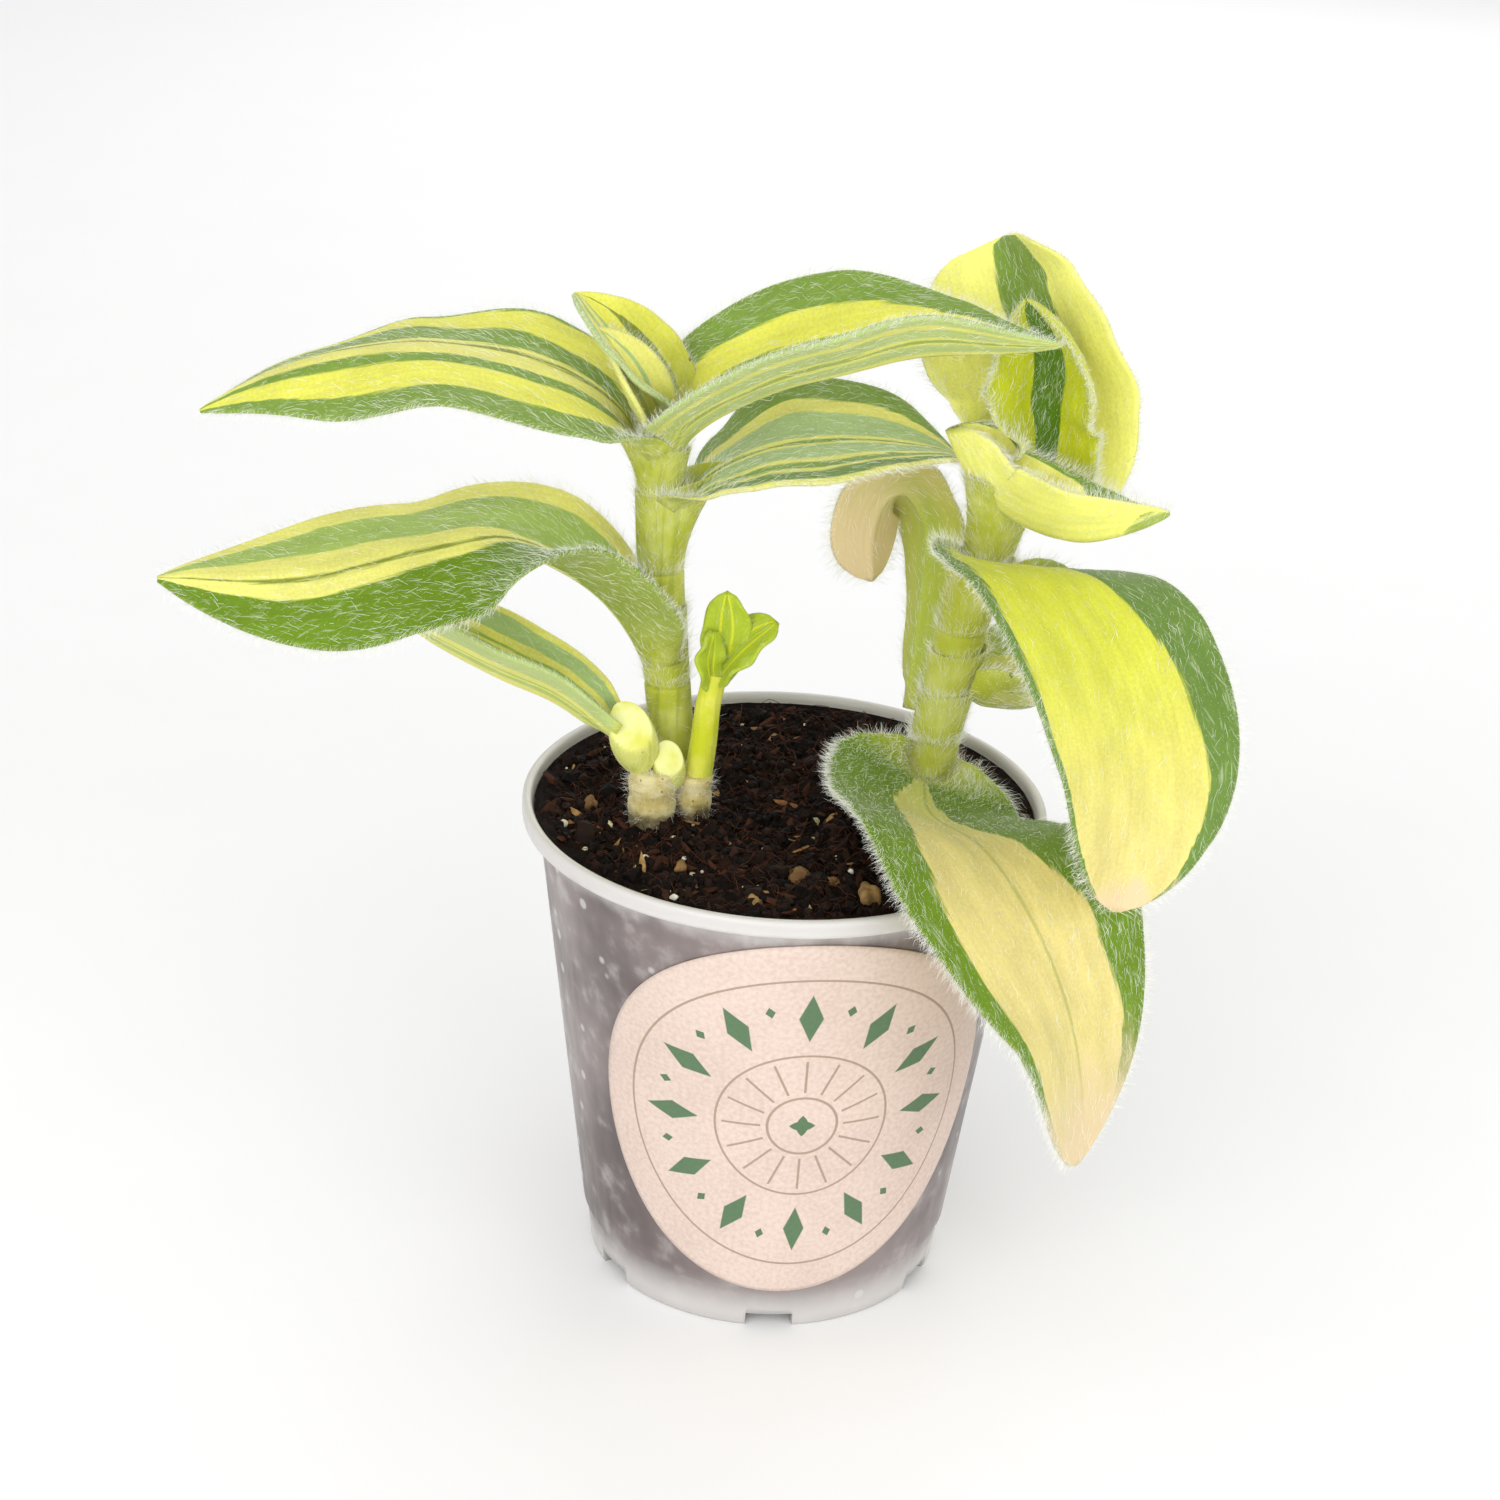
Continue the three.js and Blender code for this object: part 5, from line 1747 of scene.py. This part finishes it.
@dataclass
class SoilBed:
    """The potting soil: its body, and the crumbs, chips, grains and fibres that lie on it."""

    level: float = 61.2
    bump: float = 0.75
    floor: float = 3.5
    edge: float = 31.0

    RINGS = 96
    SECTORS = 176
    OPEN_RADIUS = 29.3
    FIBRES = 480
    FIBRE_RADII = (28.5, 29.5)
    PEBBLES = (
        (2.3, -17.8, 1.5), (5.9, -18.6, 1.2), (10.7, -23.2, 1.7), (-2.8, -24.8, 1.0), (-24, -2.2, 1.1),
        (-12, -18, 0.9),
    )

    def height(self, x: Points, y: Points) -> Points:
        """The surface's height: wide and narrow waves, dying out towards the wall, and fine clods."""
        inside = smooth((30.5 - np.hypot(x, y)) / 7)
        wide = np.sin(0.31 * x + 1.1) * np.cos(0.27 * y - 0.4)
        middle = np.sin(0.83 * x - 0.52 * y) * np.sin(0.71 * y + 0.38 * x + 1.9)
        fine = np.sin(1.9 * x + 0.7 * y) * np.sin(1.6 * y - 0.9 * x)
        rough = np.sin(4.1 * x + 2.3 * np.sin(1.7 * y)) * np.sin(3.7 * y + 2.1 * np.sin(1.3 * x))
        ridges = np.sin(2.7 * x + 1.3 * np.sin(2.9 * y + 1))
        clods = np.abs(ridges * np.sin(2.3 * y + 1.7 * np.sin(2.1 * x)))
        waves = (0.5 * wide + 0.7 * middle + 0.5 * fine) * inside + 0.6 * (1 - inside)
        return self.level + self.bump * waves + 0.16 * rough + 0.45 * clods - 0.15

    def bed(self) -> Piece:
        """The soil's closed body with its uneven top."""
        angle = TURN * np.arange(self.SECTORS) / self.SECTORS
        reach = np.sqrt(np.linspace(0.0006, 1, self.RINGS)) * (self.edge - 0.1)
        x, y = reach[:, None] * np.cos(angle), reach[:, None] * np.sin(angle)
        top = np.stack([x, y, self.height(x, y)], axis=-1)
        shoulder = POT_HEIGHT - RIM_BAND
        sides = []
        foot = (wall_radius(3.5) - 1.3, self.floor)
        for radius, z in ((self.edge, shoulder + 1.2), (WALL_TOP_RADIUS - 1.3, shoulder - 0.3), foot):
            level = np.full_like(angle, z)
            sides.append(np.stack([radius * np.cos(angle), radius * np.sin(angle), level], axis=-1))
        rows = np.concatenate([top, np.array(sides)])
        peak = float(self.height(np.array(0.0), np.array(0.0)))
        points, faces = closed_rings(rows, (0, 0, peak), (0, 0, self.floor))
        open_ = (np.hypot(points[:, 0], points[:, 1]) < self.OPEN_RADIUS).astype(float)
        return settle(one_body("soil_bed", Earth().material(), points, faces, open=open_), "soil", "soil")

    def lumps(
        self, name: str, count: int, squash: Triple, jag: float, seed: int,
        detail: int = 2,
    ) -> Loose:
        """A few uneven grains of unit size, to be strewn.

        Args:
            name: what the grains are called.
            count: how many kinds there are.
            squash: their proportions.
            jag: how uneven they are.
            seed: the draw.
            detail: how finely they are divided.

        Returns:
            A collection of the grains.
        """
        draw = np.random.default_rng(seed)
        grains = bpy.data.collections.new(name)
        for number in range(count):
            form = bmesh.new()
            bmesh.ops.create_icosphere(form, subdivisions=detail, radius=0.5)
            push = draw.normal(0, 1, (3, 3)) * 2.2
            for vertex in form.verts:
                p = np.array(vertex.co)
                waves = math.sin(push[0] @ p * 2 + number) * math.cos(push[1] @ p * 3)
                uneven = 1 + jag * waves + 0.3 * jag * draw.normal()
                vertex.co = Vector(p * uneven * np.array(squash))
            mesh = bpy.data.meshes.new(f"{name}_{number}")
            form.to_mesh(mesh)
            form.free()
            grains.objects.link(bpy.data.objects.new(f"{name}_{number}", mesh))
        return grains

    def strew(
        self, kit: Kit, bed: Piece, name: str, grains: Loose, density: float, sizes: Pair,
        seed: int, skin: GrainSkin, tumble: float = 1.5,
    ) -> None:
        """Scatters one kind of grain over the bed.

        Args:
            kit: the shared growers.
            bed: what they lie on.
            name: the piece's name.
            grains: the kinds of grain.
            density: grains a square millimetre.
            sizes: the smallest and the largest, in millimetres.
            seed: the draw.
            skin: what they are painted with.
            tumble: how far they tip, in radians.
        """
        made = kit.crumbs.grow(
            bed, name, Grains=grains, Density=density / MM**2, Smallest=sizes[0] * MM,
            Largest=sizes[1] * MM, Tumble=tumble, Seed=seed, Material=skin.material(),
        )
        settle(made, "soil")
        for grain in list(grains.objects):
            bpy.data.objects.remove(grain)
        bpy.data.collections.remove(grains)

    def fibres(self, rods: RodGrower) -> None:
        """Root hairs and peat fibres that loop over the crumbs."""
        draw = np.random.default_rng(17)
        paths = []
        start_within, end_within = self.FIBRE_RADII
        for _ in range(self.FIBRES):
            distance, turned = start_within * math.sqrt(draw.random()), draw.random() * TURN
            start = np.array([distance * math.cos(turned), distance * math.sin(turned)])
            way, length = draw.random() * TURN, 2 + 5 * draw.random()
            bend = draw.normal(0, 0.9)
            share = np.linspace(0, 1, 8)
            heading = way + bend * share
            steps = np.stack([np.cos(heading), np.sin(heading)], axis=1) * length / 8
            flat = start + np.cumsum(steps, axis=0)
            out = np.maximum(np.hypot(flat[:, 0], flat[:, 1]), 1e-6)
            flat *= np.minimum(1, end_within / out)[:, None]
            arch = np.sin(np.pi * share) * draw.uniform(0.1, 1.2)
            line = np.column_stack([flat, self.height(flat[:, 0], flat[:, 1]) + 0.35 + arch])
            paths.append((line, np.linspace(1, 0.45, 8) * draw.uniform(0.03, 0.1)))
        skin = GrainSkin("fibre_skin", Paint.SOIL_RED, Paint.BARK, 0.8)
        settle(rods.sweep("soil_fibres", paths, 3, skin.material()), "soil")

    def pebbles(self) -> None:
        """A few larger tan lumps near the front of the rim."""
        shape = Shape()
        for number, (x, y, size) in enumerate(self.PEBBLES):
            z = float(self.height(np.array(x), np.array(y)))
            middle, half = (x, y, z + 0.3 * size), (size, 0.8 * size, 0.7 * size)
            points, faces = swollen_body(middle, half, 0.4 * number, 14, 18, 0.32, number * 1.7)
            shape.add(points, faces, shade=np.full(len(points), 0.35 + 0.15 * (number % 4)))
        skin = GrainSkin("pebble_skin", Paint.SOIL_RED, Paint.BARK)
        settle(shape.build("soil_pebbles", skin.material()), "soil")

    def build(self, kit: Kit) -> None:
        """Builds the bed and strews everything on it."""
        bed = self.bed()
        crumb = GrainSkin("crumb_skin", Paint.SOIL_DARK, Paint.SOIL_BROWN, 1.6)
        red = GrainSkin("peat_skin", Paint.SOIL_BROWN, Paint.SOIL_RED)
        chip = GrainSkin("chip_skin", Paint.BARK_ORANGE, Paint.BARK, 0.6)
        perlite = GrainSkin("perlite_skin", Paint.STRAW, Paint.PERLITE)
        for name, forms, strewn in (
            ("crumbs", ("crumb", 4, (1, 0.85, 0.8), 0.34, 3, 1), (1.15, (0.3, 1.8), 11, crumb)),
            ("clods", ("clod", 4, (1, 0.9, 0.75), 0.5, 4), (0.08, (0.9, 3.2), 12, crumb)),
            ("peat", ("peat", 3, (1.5, 0.5, 0.35), 0.35, 5, 1), (0.22, (0.6, 2.6), 13, red, 0.6)),
            ("bark", ("chip", 4, (1.9, 0.5, 0.22), 0.3, 6, 1), (0.04, (0.5, 2.2), 14, chip, 0.5)),
            ("perlite", ("perlite", 3, (1, 0.9, 0.9), 0.15, 7), (0.022, (0.4, 1.5), 15, perlite)),
        ):
            self.strew(kit, bed, f"soil_{name}", self.lumps(*forms), *strewn)
        self.fibres(kit.rods)
        self.pebbles()


@dataclass
class Studio:
    """A pale floor under soft light, seen from the photograph's angle."""

    eye: Triple = (0.0, -386.18, 252.11)
    aim: Triple = (-4.68, 2.54, 68.18)
    roll: float = 2.897
    lens: float = 83.29
    sky: float = 0.77
    floor_reach: float = 5000.0
    lamps: tuple = (
        ("key", (-320, -600, 380), 620, 2.6),
        ("fill", (400, -600, 260), 700, 2.5),
        ("back", (150, 620, 420), 600, 1.2),
    )

    def build(self) -> None:
        """Adds the floor, the lights, the sky and the camera."""
        self.floor()
        for name, place, size, power in self.lamps:
            self.light(name, place, size, power)
        world = bpy.data.worlds.new("sky")
        world.use_nodes = True
        background = next(node for node in world.node_tree.nodes if node.type == "BACKGROUND")
        background.inputs["Color"].default_value = (1.0, 1.0, 1.0, 1.0)
        background.inputs["Strength"].default_value = self.sky
        bpy.context.scene.world = world
        bpy.context.scene.view_settings.view_transform = "Standard"
        self.camera()

    def floor(self) -> None:
        """A pale floor that reaches past the view."""
        size = self.floor_reach
        corners = np.array([(-size, -size, 0), (size, -size, 0), (size, size, 0), (-size, size, 0)])
        w = ShaderWiring("studio_floor")
        grain = w.noise(w.place(), 40, 3)
        colour = w.mix(w.times(grain, 0.06), Paint.FLOOR, Paint.PLASTIC_PALE)
        w.set(Base_Color=colour, Roughness=0.75, Specular_IOR_Level=0.2)
        one_body("studio_floor", w.material, corners, [(0, 1, 2, 3)])

    def light(self, name: str, place: Triple, size: float, power: float) -> None:
        """One large soft lamp that looks at the plant.

        Args:
            name: the lamp's name.
            place: where it stands, in millimetres.
            size: its side in millimetres.
            power: its power in watts.
        """
        data = bpy.data.lights.new(name, "AREA")
        data.energy, data.size = power, size * MM
        lamp = linked(name, data)
        lamp.location = Vector(place) * MM + Vector(AXIS)
        towards = Vector((0, 0, 0.08)) + Vector(AXIS) - lamp.location
        lamp.rotation_euler = towards.to_track_quat("-Z", "Y").to_euler()

    def camera(self) -> None:
        """The camera, at the photograph's place, turn and lens."""
        data = bpy.data.cameras.new("camera")
        data.lens, data.sensor_width, data.clip_start = self.lens, 36.0, 0.01
        eye, aim = Vector(self.eye), Vector(self.aim)
        forward = (aim - eye).normalized()
        right = forward.cross(Vector((0, 0, 1))).normalized()
        up = right.cross(forward)
        a = math.radians(self.roll)
        c, s = math.cos(a), math.sin(a)
        right, up = right * c + up * s, up * c - right * s
        made = linked("camera", data)
        turned = Matrix((right, up, -forward)).transposed().to_4x4()
        made.matrix_world = Matrix.Translation(eye * MM + Vector(AXIS)) @ turned
        bpy.context.scene.camera = made


LEFT_STEM = Stem(
    "left_stem",
    ((-13.9, 3.4, 45), (-13.9, 3.4, 60), (-14.8, 3, 72), (-16, 2.6, 84), (-16.8, 2.4, 96), (-17, 2, 108)),
    2.4, ((77, 87), (92, 102), (102, 107.5), (107.5, 111)), StemSkin("left_stem_skin"), 5,
)
RIGHT_STEM = Stem(
    "right_stem",
    ((17.6, 8.2, 45), (17.6, 8.2, 60), (18.6, 8, 71), (20.2, 7.8, 82), (22.4, 7.6, 92), (25.2, 7.8, 101)),
    2.7, ((63.6, 69), (69, 75.5), (75.5, 81), (84, 93), (93, 101.2)),
    StemSkin("right_stem_skin", Paint.SHEATH, Paint.LIME, Paint.SHEATH_PALE), 6,
)

SAGE_STRIPED = stripes(
    (Paint.SAGE, 0.2), (Paint.BUTTER, 0.4), (Paint.SAGE, 0.6), (Paint.BUTTER, 0.8), (Paint.SAGE,),
)

LEFT_LEAVES = (
    LeafBlade(
        "left_leaf_lowest",
        (
            (-18, 2, 79), (-21, 0, 87), (-27, -2, 93), (-36, -4, 97), (-46, -7, 96), (-60, -9, 93),
            (-75, -12, 93),
        ),
        (1, 0, 0.3), (20, 20, 5, -10, -10), (35, 35, -10, -15, -20), 25,
        LeafSkin("left_leaf_lowest_skin", stripes(
            (Paint.MEADOW, 0.49, 0.49, 0.45, 0.38, 0.33, 0.3, 0.3),
            (Paint.BUTTER, 0.5, 0.5, 0.48, 0.45, 0.44, 0.43, 0.43),
            (Paint.OLIVE, 0.51, 0.51, 0.495, 0.47, 0.46, 0.45, 0.45),
            (Paint.BUTTER, 0.52, 0.52, 0.54, 0.59, 0.63, 0.65, 0.65), (Paint.MEADOW_LIGHT, 0.87),
            (Paint.BUTTER,),
        )),
        base=0.6, belly=0.5, tip=0.8, grip=2.9, clasp=0.14, sheath=(77, 87), flare=0.2, seed=1,
    ),
    LeafBlade(
        "left_leaf_second",
        (
            (-14, 2, 99), (-11, 3, 103.5), (-5, 5, 106.5), (2, 7, 107.5), (9, 9, 107), (15, 10, 106),
            (19, 11, 104.6),
        ),
        (-1, 0, 0.6), (-5, 10, 25, 25, 15), (5, 0, 10, 15, 15), 26,
        LeafSkin("left_leaf_second_skin", stripes(
            (Paint.SAGE, 0.19), (Paint.BUTTER, 0.29), (Paint.SAGE_LIGHT, 0.49), (Paint.BUTTER, 0.52),
            (Paint.SAGE, 0.55), (Paint.BUTTER, 0.58), (Paint.SAGE_LIGHT, 0.72), (Paint.BUTTER, 0.77),
            (Paint.SAGE, 0.84), (Paint.BUTTER, 0.87), (Paint.FOREST, 0.97), (Paint.BUTTER,),
        )),
        base=0.44, belly=0.4, tip=0.6, grip=3, clasp=0.12, sheath=(92, 102.02), flare=0.3,
        pulled=(5.0, 0.6, 3.4), seed=2,
    ),
    LeafBlade(
        "left_leaf_third",
        (
            (-19, 1, 107), (-23, 0, 112), (-29, -1, 116), (-38, -3, 119), (-47, -5, 120), (-59, -7, 118),
            (-70, -9, 113),
        ),
        (0.5, 0, 1), (-10, -15, 0, -5, 5), (20, 5, -5, -20, -10), 24,
        LeafSkin("left_leaf_third_skin", stripes(
            (Paint.SAGE, 0.23, 0.17, 0.16, 0.16), (Paint.LEMON, 0.38), (Paint.SAGE, 0.46),
            (Paint.BUTTER, 0.57), (Paint.OLIVE, 0.6), (Paint.BUTTER, 0.61, 0.64, 0.64, 0.64),
            (Paint.SAGE, 0.68, 0.76, 0.8, 0.87, 0.91, 0.93), (Paint.LEMON, 0.98), (Paint.SAGE,),
        )),
        base=0.6, belly=0.45, tip=0.8, grip=3.2, clasp=0.14, sheath=(102, 107.52), flare=0.8,
        pulled=(-2.2, -0.7, 2.2), seed=3,
    ),
    LeafBlade(
        "left_leaf_fourth",
        (
            (-15, 2, 107), (-12, 1, 112), (-4, 0, 117), (4, -1, 120), (13, -2, 123), (22, -3, 124),
            (29, -4, 125),
        ),
        (-0.5, 0, 1), (8, 8, 5, -10, -20), (38, 38, 40, 32, 20), 26,
        LeafSkin("left_leaf_fourth_skin", stripes(
            (Paint.SAGE, 0.17), (Paint.LEMON, 0.33), (Paint.SAGE, 0.36), (Paint.BUTTER, 0.39),
            (Paint.SAGE, 0.44), (Paint.BUTTER, 0.47), (Paint.SAGE, 0.52), (Paint.BUTTER, 0.56),
            (Paint.SAGE_LIGHT, 0.66), (Paint.BUTTER, 0.69), (Paint.SAGE, 0.73), (Paint.BUTTER, 0.76),
            (Paint.SAGE_LIGHT, 0.87), (Paint.BUTTER, 0.92), (Paint.SAGE_LIGHT,),
        )),
        base=0.7, belly=0.4, tip=0.8, grip=3.2, clasp=0.12, sheath=(107.5, 111), flare=0.6,
        pulled=(2.2, -0.6, 2.2), seed=4,
    ),
)

RIGHT_LEAVES = (
    LeafBlade(
        "right_leaf_lowest",
        (
            (16.8, 4.6, 64.6), (17.6, -7.5, 65), (23.6, -20, 66.9), (29, -29, 63.2), (33.5, -32, 54),
            (36, -33, 44), (37, -33, 33),
        ),
        (0, 0, 1), (-22, -12, 3, -10, -10), (10, 10, 10, 15, 10), 31,
        LeafSkin("right_leaf_lowest_skin", stripes(
            (Paint.MEADOW, 0.5, 0.43, 0.33, 0.23, 0.13, 0.02),
            (Paint.CREAM, 0.53, 0.68, 0.81, 0.9, 0.97, 0.99), (Paint.MEADOW,),
        ), dry=0.25, young=Paint.SHEATH_PALE, young_reach=0.4, flush=0.05, rib=0.4),
        base=0.72, belly=0.45, tip=0.66, grip=3.2, clasp=0.05, sheath=(63.6, 69.02), wool=1.5, seed=5,
    ),
    LeafBlade(
        "right_leaf_second",
        ((21, 8, 75), (25, 9, 74), (30, 12, 73), (37, 16, 75), (44, 20, 76), (51, 24, 75)),
        (-0.2, 0, 1), (0, 0), (40, 38, 35, 28, 20), 22,
        LeafSkin("right_leaf_second_skin", SAGE_STRIPED, flush=0.5),
        base=0.9, belly=0.35, tip=0.8, grip=3.2, clasp=0.1, sheath=(75.5, 81), pulled=(1.2, 0.3, 0.3),
        seed=6,
    ),
    LeafBlade(
        "right_leaf_third",
        (
            (15, 9, 72), (15.8, 12, 80), (16.4, 13.6, 88), (15.8, 14.6, 95), (12.8, 14.4, 99.4),
            (9.6, 12.8, 98.2), (8.4, 11.4, 93.6), (9.2, 10.6, 88.3),
        ),
        (1, 0, 0.1), (42, 46, 46, 50, 100, 120), (30, 20, 10, 0, 10, 15), 11.6,
        LeafSkin("right_leaf_third_skin", stripes(
            (Paint.SHEATH, 0.25), (Paint.LIME, 0.7), (Paint.SHEATH,),
        ), dry=0.5),
        base=0.55, belly=0.78, tip=0.62, grip=3.2, clasp=0.1, sheath=(69, 75.52), pulled=(0.6, -0.2, 0.3),
        wool=1.8, seed=7,
    ),
    LeafBlade(
        "right_leaf_fourth",
        (
            (23, 5, 90), (25, 0, 95), (31, -9, 97), (37, -17, 90), (40, -23, 81), (40, -27, 73),
            (39, -29, 65),
        ),
        (-0.3, 0, 1), (-40, -24, -18, -13, -8), (5, 2, 10, 15, 18), 30,
        LeafSkin("right_leaf_fourth_skin", stripes(
            (Paint.FOREST, 0.36, 0.33, 0.28, 0.2, 0.1, 0.01),
            (Paint.LEMON, 0.88, 0.9, 0.96, 0.98, 0.99, 0.99), (Paint.FOREST,),
        ), dry=0.08, young=Paint.CHARTREUSE, young_reach=1.0, old=Paint.CREAM, old_from=0.45),
        base=0.5, belly=0.5, tip=0.6, grip=3.4, clasp=0.14, sheath=(84, 93.02), flare=0.1,
        pulled=(1.0, -2.2, 1.6), seed=8,
    ),
    LeafBlade(
        "right_leaf_fifth",
        (
            (17.5, 4.8, 111), (19.8, 4.7, 106.7), (23, 4.4, 103), (27.5, 2, 100.9), (32.5, -1.8, 101),
            (37.5, -4.6, 103), (43, -6, 105.8),
        ),
        (1, 0, 0.4), (20, 25, 24, 15, 3), (75, 75, 73, 60, 40), 14.8,
        LeafSkin("right_leaf_fifth_skin", stripes(
            (Paint.SAGE, 0.01, 0.01, 0.01, 0.04, 0.5, 0.98), (Paint.LEMON_PALE,),
        ), flush=0.02),
        base=0.68, belly=0.45, tip=0.7, sheath=(93, 101.2), flare=0.9, pulled=(-2.4, -2.2, 4.4),
        lopsided=0.12, wave=0.05, wool=1.6, seed=9,
    ),
    LeafBlade(
        "right_leaf_sixth",
        (
            (26, 9.8, 100), (28.2, 11.6, 107), (28.6, 13, 112.6), (27.7, 14, 118.1), (25.3, 15.5, 124.3),
            (22.5, 18, 131),
        ),
        (0, -1, 0), (16, 6, -7, -27, -40, -51), (26, 32, 35, 33, 26, 34), 27.6,
        LeafSkin("right_leaf_sixth_skin", stripes(
            (Paint.LEMON_PALE, 0.4, 0.4, 0.4, 0.4, 0.4, 0.4, 0.4, 0.38),
            (Paint.SAGE, 0.66, 0.66, 0.66, 0.66, 0.67, 0.71, 0.8, 0.97), (Paint.LEMON_PALE,),
        ), flush=0.08),
        base=0.7, belly=0.63, tip=0.27, grip=3.4, clasp=0.12, wave=0.05, seed=10,
    ),
)

YOUNG_LEAF = LeafBlade(
    "right_young_leaf", ((26, 8, 102.5), (28, 9, 106), (28, 10, 112), (28, 9, 120), (25, 6, 127)),
    (0, -1, 0.2), (15, 15, -5, -10, -5), (34, 46, 35, 30, 30), 23,
    LeafSkin("right_young_leaf_skin", stripes(
        (Paint.CHARTREUSE, 0.42), (Paint.MOSS, 0.66), (Paint.CHARTREUSE,),
    ), flush=0.06),
    curl=(0, 34, 50, 50, 50), base=0.55, belly=0.6, tip=0.45, wave=0.04, wool=2.4, seed=11,
)

OLD_LEAF = LeafBlade(
    "left_old_leaf", ((-21, -4, 72), (-28, -2, 76), (-35, 0, 78), (-42, 3, 80), (-48, 6, 82), (-53, 9, 83)),
    (0.3, 0, 1), (0, 0), (50, 48, 45, 42, 40), 15,
    LeafSkin("left_old_leaf_skin", stripes(
        (Paint.SAGE_LIGHT, 0.2), (Paint.BUTTER, 0.28), (Paint.MEADOW_LIGHT, 0.305), (Paint.BUTTER, 0.34),
        (Paint.MEADOW_LIGHT, 0.41), (Paint.BUTTER, 0.59), (Paint.MEADOW_LIGHT, 0.66), (Paint.BUTTER, 0.695),
        (Paint.MEADOW_LIGHT, 0.72), (Paint.BUTTER, 0.8), (Paint.SAGE_LIGHT, 0.95), (Paint.BUTTER,),
    ), flush=0.05),
    base=0.5, belly=0.55, tip=0.8, grip=2, clasp=0.14, seed=12,
)

BUD = Bud(
    outer=LeafBlade(
        "left_bud_outer", ((-16, 2, 111), (-18, 2, 114), (-21, 1, 118), (-25, 1, 123), (-28, 2, 126)),
        (0.7, 0, 0.5), (-15, -15, -20, -25, -30), (35, 30, 20, 20, 20), 14,
        LeafSkin("left_bud_outer_skin", stripes(
            (Paint.SAGE_LIGHT, 0.12), (Paint.BUTTER, 0.24), (Paint.SAGE_LIGHT, 0.34), (Paint.BUTTER, 0.46),
            (Paint.SAGE_LIGHT, 0.54), (Paint.LEMON, 0.7, 0.68, 0.66, 0.69, 0.75, 0.79),
            (Paint.OLIVE, 0.73, 0.78, 0.8, 0.79, 0.765, 0.79), (Paint.LEMON,),
        ), flush=0.4),
        curl=(20, 20), base=0.7, belly=0.4, tip=0.8, grip=2, clasp=0.12, seed=13,
    ),
    inner=LeafBlade(
        "left_bud_inner", ((-18, -1, 111), (-20, -2, 115), (-22, -2, 119), (-25, -1, 123)),
        (1, -0.3, 0.4), (-20, -20, -20), (40, 35, 30), 9,
        LeafSkin("left_bud_inner_skin", stripes(
            (Paint.BUTTER, 0.2), (Paint.SAGE_LIGHT, 0.27), (Paint.BUTTER, 0.42), (Paint.SAGE_LIGHT, 0.47),
            (Paint.BUTTER, 0.52), (Paint.SAGE_LIGHT, 0.58), (Paint.BUTTER, 0.7), (Paint.SAGE_LIGHT, 0.76),
            (Paint.BUTTER,),
        ), flush=0.45),
        curl=(20, 20), base=0.7, belly=0.4, tip=0.8, grip=2, clasp=0.12, seed=14,
    ),
)


def main() -> None:
    """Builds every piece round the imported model, then the studio."""
    kit = Kit()
    NurseryPot().build()
    RoundSticker().build()
    SoilBed().build(kit)
    LEFT_STEM.build(kit)
    RIGHT_STEM.build(kit)
    OldCaneWithLeaf(leaf=OLD_LEAF).build(kit)
    SideShoot().build(kit)
    BUD.build(kit)
    for leaf in LEFT_LEAVES:
        leaf.build(kit, LEFT_STEM)
    for leaf in RIGHT_LEAVES:
        leaf.build(kit, RIGHT_STEM)
    YOUNG_LEAF.build(kit, RIGHT_STEM, "young_leaf")
    kit.clear()
    Studio().build()
    log.info("all pieces built")


if __name__ == "__main__":
    main()
